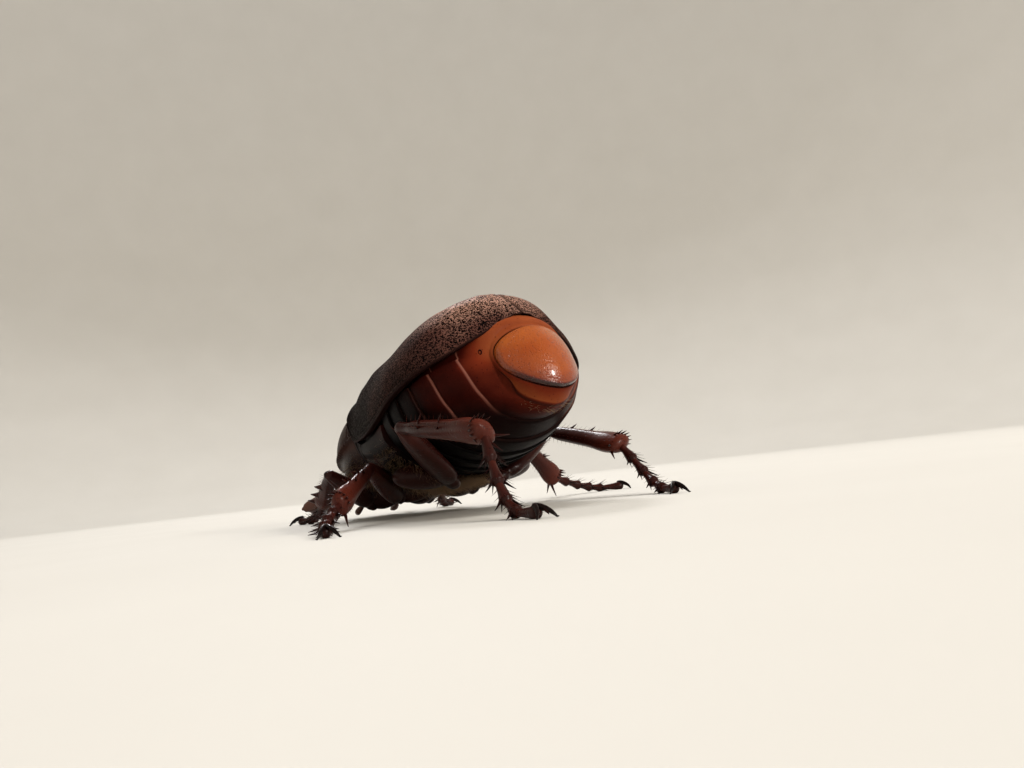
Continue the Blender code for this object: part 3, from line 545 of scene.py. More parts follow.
def breathing_hole(side, word):
    """A flattened ring set on the nearest point of the back plate."""
    bpy.ops.object.select_all(action="DESELECT")
    bpy.ops.mesh.primitive_torus_add(
        major_radius=HOLE_RADIUS, minor_radius=HOLE_RIM_RADIUS, major_segments=28, minor_segments=10
    )
    ring = bpy.context.object
    ring.name = f"breathing_hole_{word}"
    bpy.ops.object.mode_set(mode="EDIT")
    bpy.ops.transform.resize(value=(0.72, 1.0, 0.8))
    bpy.ops.object.mode_set(mode="OBJECT")
    wall = ABDOMEN_GRID.reshape(-1, 3)
    centre = wall[np.argmin(np.linalg.norm(wall - sided(HOLE_PLACE, side), axis=1))]
    outward = Vector((side * 0.72, 0.69, 0.05))
    stand = Matrix.Translation(centre) @ outward.to_track_quat("Z", "Y").to_matrix().to_4x4()
    ring.data.transform(Matrix.Scale(MM, 4) @ BODY @ stand)
    bpy.ops.object.shade_smooth()
    return ring


for side, word in SIDES:
    dress(breathing_hole(side, word), BELLY_HORN, "belly")

# Rear plate
# The domed plate that closes the rear end: clear amber horn, highly polished, with fine scattered
# pores and a thin dark rim. The rim's darkness is painted shade where the plate's side sinks into
# the groove round it, and its lower part is darker and redder from painted shade.

REAR_RIM = 0.5
REAR_DOME = 0.55
REAR_EDGE_STEPS = [
    (0.9, -0.42), (1.0, -0.36), (1.0, 0.0), (1.0, 0.22), (0.997, 0.33), (0.988, 0.43), (0.973, 0.51),
    (0.956, 0.545), (0.94, 0.54),
]


def rear_plate_points():
    """The plate's rounded edge, from the hidden wall outwards, and the dome that it carries."""
    dome = [(scale, REAR_RIM - 0.02 + REAR_DOME * (1 - scale**2)) for scale in np.linspace(0.93, 0.02, 40)]
    steps = REAR_EDGE_STEPS + dome
    grid = np.array([rear_ring(scale, out) for scale, out in steps])
    scales = np.array([scale for scale, _ in steps])[:, None]
    z = grid[..., 2]
    # Painted shade darkens and reddens the plate's lower part towards its edge; the top is a little lighter.
    low = ease(4.2, 2.3, z)
    warm = 0.78 + 0.1 * ease(4.5, 6.0, z)
    warm -= low * (0.22 * ease(0.45, 0.9, scales) + 0.3 * ease(0.88, 0.99, scales))
    # Painted shade: the side that sinks into the groove round the plate is dark, and so is a band along its
    # lower edge; a faint dark line runs inside the rim.
    edge = np.where(np.arange(len(steps)) < 3, 1.0, 0)[:, None] + 0.12 * dip(scales - 0.952, 0.014)
    edge = np.clip(edge * np.ones_like(z) + 0.8 * ease(0.92, 0.98, scales) * low, 0, 1)
    return grid, {"warm": warm, "edge": edge}


REAR_GRID, rear_masks = rear_plate_points()
AMBER_HORN = horn(
    "amber horn",
    [(0.0, (0.035, 0.0035, 0.0015)), (0.45, (0.12, 0.013, 0.003)), (0.75, (0.25, 0.044, 0.005)),
     (1.0, (0.34, 0.085, 0.012))],
    pore_scale=6600.0, pore_size=0.34, depth=0.034, rough=0.17, coat=0.3, grain=9000.0,
    pore_tint=(0.8, 0.7, 0.6), shine=0.38,
)
dress(skin("rear_plate", REAR_GRID, BODY, rear_masks), AMBER_HORN, "pygidium", "pygidium")

# Wing cases
# Two hard arched covers that meet in a seam along the back. Chocolate-brown horn with a grey-pink
# bloom, cut all over by a maze of fine pits, with a smooth dark bead and a fold along the side. Painted
# light mixed into the bloom makes them paler to the rear and high up, with painted highlights on the ribs.

CASE_SIDE = [
    (5.25, -5.5, 6.95), (5.68, -4.1, 5.05), (6.2, -1.5, 4.4), (6.8, 1.95, 4.4), (7.05, 4.95, 4.85),
    (6.55, 8.2, 5.25), (4.85, 9.95, 5.85), (3.0, 11.05, 6.6), (0.6, 11.55, 7.7),
]
CASE_CREST_Z = [
    (-5.5, 9.4), (-3.0, 10.1), (0.0, 10.6), (3.0, 10.7), (6.0, 10.65), (8.0, 10.55), (9.4, 10.17),
    (10.7, 9.0), (11.6, 7.75),
]
CASE_SEAM_X = 0.025
CASE_SWELL = -0.1
CASE_KNOBS = (((4.5, -3.6, 8.6), 0.25, 1.2), ((4.2, -1.6, 8.9), 0.4, 2.2), ((3.8, 10.2, 8.3), -0.22, 1.3))
CASE_RIBS = (0.2, 0.46)
RIB_WIDTH = 0.03
RIB_HEIGHT = 0.05
CASE_WALL = 0.3
CASE_RIM_RADIUS = 0.075
CASE_RIM_ANGLES = (30, 60, 90, 120, 150, 180)
CASE_HEM = ((0.12, 0.0), (0.36, 0.03), (0.36, 0.16), (0.2, 0.22))
FRONT_CURL_ROW = 4
FRONT_CURL_RADIUS = 0.34
FRONT_CURL = ((90, 0.5), (90, 0.2), (90, 0.0), (68, 0.0), (45, 0.0), (22, 0.0))
SHIELD_FRONT = -5.35
SHIELD_LENGTH = 2.5
SHIELD_HALF_WIDTH = 1.75
CASE_ROWS = 190
CASE_COLUMNS = 72
MAZE_SCALE = 10800.0
# Colours of the bloom with its painted light, from the dark bare horn to the palest lit pink.
BLOOM_AND_LIGHT_STOPS = ((0.0, (0.009, 0.004, 0.0032)), (0.4, (0.085, 0.034, 0.025)), (1.0, (0.6, 0.33, 0.235)))
PIT_COLOUR = (0.0025, 0.0012, 0.001)
HEM_COLOUR = (0.012, 0.0038, 0.003)


def shield_half_width(y):
    """Half width of the small shield at a place along the body."""
    back = np.clip((np.asarray(y, float) - SHIELD_FRONT) / SHIELD_LENGTH, 0, 1)
    return SHIELD_HALF_WIDTH * np.sqrt(1 - back**2.2)


def case_points():
    """The left wing case: over the arch from the seam to the side, round the bead, and back inside."""
    side = smooth_curve(CASE_SIDE, CASE_ROWS)
    y, z = smooth_curve(CASE_CREST_Z, CASE_ROWS).T
    crest = np.column_stack((np.full(CASE_ROWS, CASE_SEAM_X), y, z))
    beside = np.where(y < SHIELD_FRONT + SHIELD_LENGTH, shield_half_width(y) + 0.05, CASE_SEAM_X)
    steepest = np.arccos((beside - CASE_SEAM_X) / (side[:, 0] - CASE_SEAM_X))[:, None, None]
    even = np.linspace(0, 1, CASE_COLUMNS)
    turn = steepest * (1 - even + 0.8 / (2 * math.pi) * np.sin(2 * math.pi * even))[None, :, None]
    span = (side - crest)[:, None, :]
    sheet = crest[:, None, :] + span * np.cos(turn)
    sheet[..., 2:3] = side[:, None, 2:3] - span[..., 2:3] * np.sin(turn)
    y, z = sheet[..., 1], sheet[..., 2]
    normal = unit(np.cross(np.gradient(sheet, axis=1), np.gradient(sheet, axis=0)))
    normal *= np.sign(normal[..., 2].mean())
    steps = np.linalg.norm(np.diff(sheet, axis=1), axis=-1)
    from_seam = np.concatenate((np.zeros((CASE_ROWS, 1)), np.cumsum(steps, axis=1)), axis=1)
    from_side = from_seam[:, -1:] - from_seam
    size = np.clip(from_seam[:, -1:] / 2.5, 0.12, 1)
    lift = CASE_SWELL * np.sin(2 * turn[..., 0]) * np.sin(np.linspace(0.35, math.pi, CASE_ROWS))[:, None]
    for at, height, reach in CASE_KNOBS:
        lift = lift + height * dip(np.linalg.norm(sheet - np.array(at), axis=-1), reach)
    share = from_seam / from_seam[:, -1:]
    ribs = sum(dip(share - at, RIB_WIDTH) for at in CASE_RIBS) * ease(-5.2, -3.6, y) * ease(10.4, 7.5, y)
    seam_bead = 0.05 * dip(from_seam - 0.3 * size, 0.2 * size) - 0.09 * dip(from_seam, 0.1 * size)
    side_bead = 0.03 * dip(from_side - 0.1, 0.13) - 0.06 * dip(from_side - 0.36 * size, 0.09 * size)
    lift = lift + RIB_HEIGHT * ribs + size * (seam_bead + side_bead)
    outer = sheet + normal * lift[..., None]
    edge, out = outer[:, -1], normal[:, -1]
    down = unit(edge - outer[:, -2])
    radius = CASE_RIM_RADIUS * size
    rim = [
        edge - out * radius * (1 - math.cos(angle)) + down * radius * math.sin(angle)
        for angle in np.radians(CASE_RIM_ANGLES)
    ]
    rim += [edge - out * (2 * radius + size * inward) - down * size * up for inward, up in CASE_HEM]
    inner_columns = [*range(CASE_COLUMNS - 9, 0, -5), 0]
    inside = [outer[:, i] - normal[:, i] * CASE_WALL * size for i in inner_columns]
    grid = np.concatenate((outer, np.stack(rim, 1), np.stack(inside, 1)), axis=1)
    chosen = np.r_[np.arange(CASE_COLUMNS), np.full(len(rim), CASE_COLUMNS - 1), inner_columns]
    wall = np.r_[np.zeros(CASE_COLUMNS + len(rim)), np.full(len(inside), CASE_WALL)][:, None]
    out, start = normal[FRONT_CURL_ROW, chosen], grid[FRONT_CURL_ROW]
    ahead = np.array((0, -1, 0))
    curl = []
    for angle, down in FRONT_CURL:
        bend = math.radians(angle)
        turned = (FRONT_CURL_RADIUS - wall) * (out * (math.cos(bend) - 1) + ahead * math.sin(bend))
        curl.append(start + turned - out * down)
    grid = np.concatenate((curl, grid[FRONT_CURL_ROW:]))
    ribs = np.clip(ribs, 0, 1)
    plain = np.clip(dip(from_side, 0.05) + dip(from_seam, 0.08) + 0.5 * ribs, 0, 1)
    dark = np.clip(dip(from_side, 0.07) + dip(from_seam, 0.1), 0, 1)
    # The bloom and the painted light on it: paler to the rear and towards the top, a painted pale band high
    # on the front half, and painted highlights along the ribs.
    bloom_and_painted_light = 0.45 * ease(-4.5, 9.5, y) * (0.45 + 0.55 * ease(4.5, 9.5, z))
    bloom_and_painted_light += 0.33 * ease(7.2, 9.8, z) * ease(4.0, 9.5, y) + 0.2 * ease(8.6, 10.2, z) * ease(8.0, 2.0, y)
    bloom_and_painted_light += 0.12 * ribs + 0.04 * ease(9.0, 10.6, y)
    inner = ((0, 0), (0, grid.shape[1] - CASE_COLUMNS))
    masks = {
        "plain": np.pad(plain, inner, constant_values=1.0),
        "dark": np.pad(dark, inner, constant_values=1.0),
        "bloom_and_painted_light": np.pad(bloom_and_painted_light, inner, mode="edge"),
    }
    for word, mask in masks.items():
        masks[word] = np.concatenate((mask[: len(FRONT_CURL)], mask[FRONT_CURL_ROW:]))
    return grid, masks


def pitted_horn():
    """Wing case horn: a maze of pits sunk in a bloomed surface with painted light, fading out where the horn
    is smooth.
    """
    finish, tree, shader = new_finish("pitted horn")
    maze = noise(tree, MAZE_SCALE, 0.3, Roughness=0.4, Distortion=0.9)
    cloud = noise(tree, 330.0, 4.0)
    cut = fit(tree, maze, 1.0, 0.0, 0.475, 0.535, "SMOOTHSTEP")
    pits = figure(tree, "MULTIPLY", cut, figure(tree, "SUBTRACT", 1.0, mask_of(tree, "plain")))
    varied = figure(tree, "MULTIPLY_ADD", cloud, 0.5, mask_of(tree, "bloom_and_painted_light"))
    bloom_and_light_colour = colour_run(tree, figure(tree, "SUBTRACT", varied, 0.25), BLOOM_AND_LIGHT_STOPS)
    pitted = blend(tree, pits, bloom_and_light_colour, PIT_COLOUR)
    plug(tree, shader, {
        "Base Color": blend(tree, mask_of(tree, "dark"), pitted, HEM_COLOUR),
        "Roughness": fit(tree, pits, 0.52, 0.8),
        "Specular IOR Level": 0.035,
        "Normal": relief(tree, figure(tree, "SUBTRACT", cloud, pits), 0.05),
    })
    return finish


PITTED_HORN = pitted_horn()
CASE_GRID, case_masks = case_points()
for side, word in SIDES:
    case = skin(f"wing_case_{word}", CASE_GRID * (side, 1, 1), BODY, case_masks)
    dress(case, PITTED_HORN, "wing_case", f"elytron_{word}")

# Small shield
# The little rounded plate between the bases of the wing cases: dark brown horn, smooth at its rim
# and finely pored in the middle.


def shield_points():
    """Rings of a flat plate with a low rim, widest in front and rounded off behind."""
    back = 1 - np.cos(np.linspace(0.0, 0.495 * math.pi, 30))
    places = SHIELD_FRONT - 0.35 + (SHIELD_LENGTH + 0.33) * back / back[-1]
    rings = []
    for y in places:
        half = max(float(shield_half_width(max(y, SHIELD_FRONT))), 0.02)
        top = float(at_stations(CASE_CREST_Z, [max(y, -5.5)])[0, 0]) - 0.03
        over = np.linspace(-1, 1, 25)
        crown = top - 0.16 * over**2 - 0.06 * dip(np.abs(over) - 0.86, 0.06)
        ring = [(x * half, y, z) for x, z in zip(over, crown)]
        ring += [(x * half * 0.9, y, top - 0.7 - 0.1 * x * x) for x in (1, 0.4, -0.4, -1)]
        rings.append(ring)
    return np.array(rings)


SHIELD_HORN = horn(
    "shield horn",
    [(0.0, (0.006, 0.003, 0.0025)), (0.5, (0.024, 0.0085, 0.006)), (1.0, (0.075, 0.028, 0.017))],
    pore_scale=3900.0, pore_size=0.36, depth=0.022, rough=0.4, coat=0.04, shine=0.14,
)
SHIELD_GRID = shield_points()
shield_warm = 0.35 + 0.2 * ease(-5.3, -3.2, SHIELD_GRID[..., 1])
dress(skin("small_shield", SHIELD_GRID, BODY, {"warm": shield_warm}), SHIELD_HORN, "shield", "scutellum")

# Collar
# The broad domed shield behind the head and the underside that carries the fore legs. Its side edge
# is a thin flange cut into small rounded teeth, and a bead runs along its front and back edges.

COLLAR = [
    (-5.8, 5.15, 5.75, 2.1, 9.15), (-6.9, 5.35, 5.4, 1.9, 9.1), (-8.2, 5.2, 5.1, 1.85, 8.75),
    (-9.5, 4.7, 4.9, 1.9, 8.15), (-10.5, 4.1, 4.75, 2.2, 7.5), (-11.2, 3.5, 4.65, 2.7, 6.95),
]
COLLAR_FRONT_HOLLOW = 0.7
COLLAR_TEETH = 17
COLLAR_TOOTH = 0.09
COLLAR_TUCK_BACK = ((0.86, 0.8), (0.93, 0.5), (0.965, 0.28), (0.985, 0.2))
COLLAR_TUCK_FRONT = ((0.975, -0.05), (0.94, 0.05), (0.86, 0.5), (0.6, 1.2))


def collar_ring(y, half, side_z, bottom, top, tooth):
    """A ring round the collar with its toothed flange, from the throat up the left side and over."""
    low = np.linspace(-math.pi / 2, -0.05, 22)
    waist = side_z - 0.2
    left = [((half * 0.97 - 0.22) * math.cos(t), waist + (waist - bottom) * math.sin(t)) for t in low]
    reach = half + tooth
    flange = (
        (half - 0.12, -0.16), (reach - 0.03, -0.1), (reach, -0.03), (reach - 0.03, 0.05), (half - 0.14, 0.1),
        (half - 0.2, 0.13),
    )
    left += [(x, side_z + rise) for x, rise in flange]
    brow = side_z + 0.1
    high = np.linspace(0.06, math.pi / 2, 30)
    left += [((half - 0.05) * math.cos(t) ** 0.97, brow + (top - brow) * math.sin(t)) for t in high]
    left[0], left[-1] = (0.0, bottom), (0.0, top)
    ring = [(x, y, z) for x, z in left] + [(-x, y, z) for x, z in reversed(left[1:-1])]
    return np.array(ring)


def collar_points():
    """The collar from back to front: its flange, edge beads, middle line and dimples."""
    places = np.linspace(COLLAR[0][0], COLLAR[-1][0], 120)
    front, back = COLLAR[-1][0], COLLAR[0][0]
    rings = []
    for y, row in zip(places, at_stations(COLLAR, places)):
        fore = (y - back) / (front - back)
        tooth = COLLAR_TOOTH * abs(math.sin(math.pi * COLLAR_TEETH * fore)) * ease(0.03, 0.12, fore)
        ring = collar_ring(y, *row, tooth)
        ring[:, 1] += COLLAR_FRONT_HOLLOW * fore**2 * (1 - (ring[:, 0] / row[0]) ** 2)
        rings.append(ring)
    grid = np.array(rings)
    z, x = grid[..., 2], grid[..., 0]
    fore = np.linspace(0, 1, len(grid))[:, None]
    upper = ease(5.4, 6.2, z)
    lift = upper * (0.07 * dip(fore - 0.985, 0.012) - 0.06 * dip(fore - 0.955, 0.012))
    lift += upper * (0.05 * dip(fore - 0.012, 0.012) - 0.06 * dip(fore - 0.045, 0.014))
    lift += -0.05 * upper * dip(x, 0.35) * ease(0.0, 0.2, fore) * ease(0.9, 0.6, fore)
    lift += upper * (-0.1 * dip(np.hypot(np.abs(x) - 3.4, (fore - 0.5) * 5.4), 0.5))
    grid = push(grid, lift)
    middle = np.array((0, 0, 5.4))
    tuck_back = [(grid[0] - middle) * (s, 1, s) + middle + (0, by, 0) for s, by in COLLAR_TUCK_BACK]
    tuck_front = [(grid[-1] - middle) * (s, 1, s) + middle + (0, by, 0) for s, by in COLLAR_TUCK_FRONT]
    warm = with_ends(0.3 + 0.35 * dip(z - 5.2, 0.5) + 0.1 * upper, len(tuck_back), len(tuck_front))
    return np.concatenate((tuck_back, grid, tuck_front)), {"warm": warm}


COLLAR_GRID, collar_masks = collar_points()
dress(skin("collar", COLLAR_GRID, BODY, collar_masks), SHIELD_HORN, "shield", "prothorax")

# Head
# A short broad capsule of coarsely pored dark horn. Its front is a flat visor with a turned-up,
# shallowly notched edge, divided from the brow by a fine curved joint. Small blades run into the eyes.

HEAD_PLACE = BODY @ Matrix.Translation((0, -10.55, 5.25)) @ Matrix.Rotation(math.radians(24.0), 4, "X")
HEAD = [
    (0.5, 1.9, 1.5, -1.5), (0.0, 2.35, 1.85, -1.75), (-0.9, 2.6, 1.95, -1.85), (-1.8, 2.45, 1.75, -1.8),
    (-2.5, 2.15, 1.4, -1.6), (-3.0, 2.1, 1.05, -1.2), (-3.5, 2.1, 0.85, -0.5), (-4.1, 2.0, 0.85, 0.1),
    (-4.35, 1.75, 0.85, 0.3),
]
VISOR_NOTCH = 0.14
VISOR_NOTCH_WIDTH = 0.8
HEAD_CLOSING = (0.8, 0.45, 0.12)


def head_points():
    """The capsule from neck to visor: the joint behind the visor, its raised edge and the brow's hollows."""
    places = np.linspace(HEAD[0][0], HEAD[-1][0], 80)
    rings = []
    for y, (half, top, bottom) in zip(places, at_stations(HEAD, places)):
        ring = core_ring(y, half, top * 0.45 + bottom * 0.55, bottom, top, 0.0, point=0.8, low=25, high=25)
        ahead = max(0.0, (HEAD[3][0] - y) / (HEAD[3][0] - HEAD[-1][0]))
        ring[:, 1] += VISOR_NOTCH * ahead**2 * (2 * dip(ring[:, 0], VISOR_NOTCH_WIDTH) - 1)
        rings.append(ring)
    grid = np.array(rings)
    x, z = grid[..., 0], grid[..., 2]
    base = np.repeat(places[:, None], grid.shape[1], axis=1)
    upper = ease(0.2, 0.6, z)
    lift = -0.1 * dip(base + 2.45 + 0.09 * x**2, 0.09) * upper
    lift = lift + 0.14 * dip(base + 4.2, 0.17) * upper - 0.08 * dip(base + 3.3, 0.5) * upper * dip(x, 1.3)
    lift = lift - 0.07 * dip(np.hypot(x, base + 1.4), 0.6) * upper
    lift = lift + 0.08 * dip(np.abs(x) - 1.95, 0.16) * ease(-2.7, -3.1, base) * upper
    grid = push(grid, lift)
    middle = grid[-1].mean(0)
    closing = [(grid[-1] - middle) * (1, 1, s) + middle + (0, -0.05 * (1 - s), 0) for s in HEAD_CLOSING]
    warm = 0.32 + 0.25 * ease(-2.6, -4.2, base)
    return np.concatenate((grid, closing)), {"warm": with_ends(warm, 0, len(closing))}


def knob(name, centre, radii, place, warm=0.4, groove=0.0, sides=32):
    """A rounded lobe of horn, drawn from a ball, with a groove along its length if asked."""
    bpy.ops.object.select_all(action="DESELECT")
    bpy.ops.mesh.primitive_uv_sphere_add(segments=sides, ring_count=sides // 2, radius=1.0)
    lobe = bpy.context.object
    lobe.name = name
    for vertex in lobe.data.vertices:
        vertex.co *= 1 - groove * dip(vertex.co.x, 0.16)
    bpy.ops.object.mode_set(mode="EDIT")
    bpy.ops.transform.resize(value=radii)
    bpy.ops.object.mode_set(mode="OBJECT")
    lobe.data.transform(Matrix.Scale(MM, 4) @ place @ Matrix.Translation(centre))
    paint(lobe.data, "warm", warm)
    bpy.ops.object.shade_smooth()
    return lobe


def tube(points, radii, sides=16, flat=1.0):
    """Rings of a round or flattened tube along points, closed to a small tip at both ends."""
    points, radii = np.array(points, float), np.array(radii, float)
    along = unit(np.gradient(points, axis=0))
    up = np.array((0.0, 0.0, 1.0)) if abs(along[0][2]) < 0.9 else np.array((0.0, 1.0, 0.0))
    turn = np.linspace(0, 2 * math.pi, sides, endpoint=False)[:, None]
    ends = [(0, -0.9, 0.3), (0, -0.5, 0.8)] + [(i, 0, 1) for i in range(len(points))]
    ends += [(-1, 0.5, 0.8), (-1, 0.9, 0.3)]
    rings = []
    for i, shift, scale in ends:
        across = unit(np.cross(along[i], up))
        above = np.cross(across, along[i])
        rim = np.cos(turn) * across * flat + np.sin(turn) * above
        rings.append(points[i] + along[i] * radii[i] * shift + radii[i] * scale * rim)
    return np.array(rings)


HEAD_GRID, head_masks = head_points()
capsule = skin("head_capsule", HEAD_GRID, HEAD_PLACE, head_masks)
blades = [knob("blade", (side * 2.3, -1.42, 0.42), (1.0, 0.5, 0.13), HEAD_PLACE, 0.35) for side in (1, -1)]
dress(merge("head_capsule", [capsule] + blades), SHIELD_HORN, "shield", "head")

# Mouth parts
# Under the visor: the two-lobed upper lip, the short jaws that close sideways, the chin plate, and
# a pair of jointed palps at each side. Polished reddish horn.

LIP_PALP = ((0.35, -2.9, -1.75), (0.55, -3.35, -1.95), (0.6, -3.8, -1.9))
LIP_PALP_SIZES = (0.12, 0.14, 0.13, 0.07)
LIP_PALP_JOINTS = (0.35, 0.7)


def beaded(points, sizes, joints, count):
    """A jointed thread: a smooth tube that narrows at each joint."""
    along = np.linspace(0, 1, count)
    width = np.interp(along, np.linspace(0, 1, len(sizes)), sizes)
    for at in joints:
        width = width * (1 - 0.42 * dip(along - at, 0.018))
    return smooth_curve(points, count), width


MOUTH_HORN = horn(
    "mouth horn", [(0.0, (0.03, 0.008, 0.005)), (0.5, (0.1, 0.026, 0.012)), (1.0, (0.24, 0.075, 0.03))],
    pore_scale=3000.0, pore_size=0.2, depth=0.02, rough=0.3, coat=0.5,
)
mouth = [
    knob("lip", (0, -3.42, -0.5), (1.15, 0.62, 0.4), HEAD_PLACE, 0.5, groove=0.16),
    knob("chin", (0, -2.5, -1.5), (0.95, 1.0, 0.48), HEAD_PLACE, 0.4, groove=0.1),
]
for side in (1, -1):
    mouth.append(knob("jaw", (side * 0.95, -2.95, -0.95), (0.62, 0.85, 0.42), HEAD_PLACE, 0.25))
    points, sizes = beaded([sided(at, side) for at in LIP_PALP], LIP_PALP_SIZES, LIP_PALP_JOINTS, 24)
    mouth.append(skin("lip_palp", tube(points, sizes, 10), HEAD_PLACE))
dress(merge("mouth_parts", mouth), MOUTH_HORN, "shield", "head")

# Eyes
# Round black eyes at the sides of the head, set in the capsule behind its blades. They are clear horn
# over dark pigment, with thousands of tiny facets under the gloss.

EYE_CENTRE = (2.45, -0.75, 0.25)
EYE_RADII = (0.95, 1.15, 1.25)
FACET_SCALE = 14000.0


def eye_gloss():
    """Black horn whose fine facets stand up a little and break the gloss."""
    finish, tree, shader = new_finish("eye facets")
    cells = {"Vector": place_on(tree), "Scale": FACET_SCALE, "Randomness": 0.25}
    facets = node(tree, "ShaderNodeTexVoronoi", cells).outputs["Distance"]
    shade = fit(tree, facets, 0.0, 1.0, high=0.6)
    plug(tree, shader, {
        "Base Color": blend(tree, shade, (0.006, 0.0035, 0.003), (0.0015, 0.001, 0.001)),
        "Roughness": fit(tree, shade, 0.1, 0.17),
        "Specular IOR Level": 0.28,
        "Normal": relief(tree, facets, 0.003, 0.5, invert=True),
    })
    return finish


EYE_FACETS = eye_gloss()
for side, word in SIDES:
    ball = knob(f"eye_ball_{word}", sided(EYE_CENTRE, side), EYE_RADII, HEAD_PLACE, sides=48)
    dress(ball, EYE_FACETS, "eye", f"eye_{word}")

# Feelers
# Each feeler springs from in front of the eye: a long first joint, a row of small beads, and a club
# of three thin leaves that fold together like a fan. Thin reddish-brown horn.

FEELER_STEM = [(2.0, -2.3, -0.4), (2.8, -2.85, -0.3), (3.45, -3.5, -0.15), (3.8, -4.3, 0.0)]
STEM_SIZES = (0.16, 0.22, 0.27, 0.2, 0.24, 0.2, 0.22, 0.21, 0.23, 0.24)
STEM_JOINTS = (0.42, 0.55, 0.66, 0.77, 0.88, 0.96)
CLUB_LENGTH = 2.1
CLUB_SPREAD = math.radians(13.0)
LEAF_POINTS = 22
LEAF_HALF_WIDTH = 0.55
LEAF_WIDTHS = ((0, 0.15, 0.4, 0.8, 0.95, 1), (0.4, 0.82, 1.0, 0.95, 0.7, 0.35))
PALP = [(1.0, -2.9, -1.6), (1.5, -3.4, -1.95), (1.75, -4.0, -2.0), (1.65, -4.7, -1.8)]
PALP_SIZES = (0.16, 0.22, 0.2, 0.23, 0.2, 0.25, 0.27, 0.26, 0.14)
PALP_JOINTS = (0.25, 0.45, 0.68)
FEELER_HORN = horn(
    "feeler horn", [(0.0, (0.07, 0.018, 0.008)), (0.5, (0.19, 0.055, 0.02)), (1.0, (0.34, 0.12, 0.05))],
    pore_scale=4200.0, pore_size=0.22, depth=0.015, rough=0.36, coat=0.3,
)
for side, word in SIDES:
    points, sizes = beaded([sided(at, side) for at in FEELER_STEM], STEM_SIZES, STEM_JOINTS, 72)
    stem = skin(f"feeler_stem_{word}", tube(points, sizes, 18), HEAD_PLACE)
    dress(stem, FEELER_HORN, "feeler", f"feeler_{word}")
    ahead = Vector(points[-1] - points[-2]).normalized()
    across = ahead.cross(Vector((0, 0, 1))).normalized()
    leaves = []
    for number in (-1, 0, 1):
        lean = Matrix.Rotation(CLUB_SPREAD * number, 3, Vector((0, 0, 1))) @ ahead
        root = Vector(points[-1]) + ahead * 0.25 - across * number * 0.3
        line = []
        for share in np.linspace(0, 1.02, LEAF_POINTS):
            bow = across * 0.12 * number * math.sin(math.pi * share)
            line.append(tuple(root + lean * CLUB_LENGTH * share + bow))
        widths = LEAF_HALF_WIDTH * np.interp(np.linspace(0, 1, LEAF_POINTS), *LEAF_WIDTHS)
        leaves.append(skin("leaf", tube(line, widths, 20, flat=0.28), HEAD_PLACE))
    dress(merge(f"feeler_leaves_{word}", leaves), FEELER_HORN, "feeler", f"feeler_club_{word}")
    points, sizes = beaded([sided(at, side) for at in PALP], PALP_SIZES, PALP_JOINTS, 48)
    palp = skin(f"jaw_palp_{word}", tube(points, sizes, 16), HEAD_PLACE)
    dress(palp, FEELER_HORN, "feeler", f"palp_{word}")

# Legs
# Three pairs of walking legs in polished red-brown horn. A broad hip joint lies against the body, the
# flattened thigh and the flared, spined shin meet at the knee, and five beads with two hooked claws
# make the foot. The beetle stands on its last foot joints and its claws.

HIPS = {
    "fore": dict(centre=(1.75, -8.9, 2.0), radii=(1.65, 1.0, 1.3), hip=(2.5, -9.1, 1.1)),
    "mid": dict(centre=(2.1, -3.6, 0.75), radii=(1.75, 0.95, 0.95), hip=(3.1, -3.5, 0.2)),
    "hind": dict(centre=(3.0, 0.9, 0.6), radii=(2.8, 1.1, 1.0), hip=(1.9, 2.0, -0.45)),
}
THIGHS = {"fore": (4.8, 0.95, 0.62), "mid": (5.7, 0.95, 0.62), "hind": (7.1, 1.2, 0.66)}
SHINS = {"fore": (4.6, 0.8, 0.48), "mid": (5.6, 0.85, 0.6), "hind": (8.0, 1.0, 0.66)}
FEET = {"fore": 5.0, "mid": 6.6, "hind": 7.6}
STANDS = {
    "fore_left": dict(ankle=(5.4, -12.2, 1.5), lean=(0.9, 0.6, 0.8), heading=-100, turn=6),
    "fore_right": dict(ankle=(-6.6, -13.4, 1.5), lean=(-0.8, 0.3, 1.0), heading=-66, turn=8),
    "mid_left": dict(ankle=(11.0, 3.4, 1.6), lean=(0.1, 0.1, 1.0), heading=46, turn=6),
    "mid_right": dict(ankle=(-11.2, -3.0, 1.6), lean=(-0.4, 0.2, 0.8), heading=-8, turn=10),
    "hind_left": dict(ankle=(6.45, 12.9, 4.75), lean=(0.71, -0.41, 0.57), heading=72, turn=3),
    "hind_right": dict(ankle=(-8.13, 8.17, 3.55), lean=(-0.6, -0.67, 0.43), heading=98, turn=4),
}
FOOT_SHARES = (0.24, 0.19, 0.17, 0.15, 0.25)
FOOT_SLOPES = (1.0, 0.95, 0.8, 0.5, 0.0)
FOOT_AXIS_HEIGHT = 0.3
CLAW_CURL = 0.75
CLAW_POINTS = 18
BEAD = [
    (-0.08, 0.2, 0.2), (0.1, 0.22, 0.22), (0.5, 0.27, 0.27), (0.82, 0.37, 0.36), (0.93, 0.39, 0.38),
    (1.0, 0.3, 0.3),
]
LAST_BEAD = [(-0.08, 0.18, 0.18), (0.3, 0.22, 0.22), (0.7, 0.29, 0.28), (0.9, 0.35, 0.32), (1.0, 0.32, 0.3)]
UP = Vector((0, 0, 1))


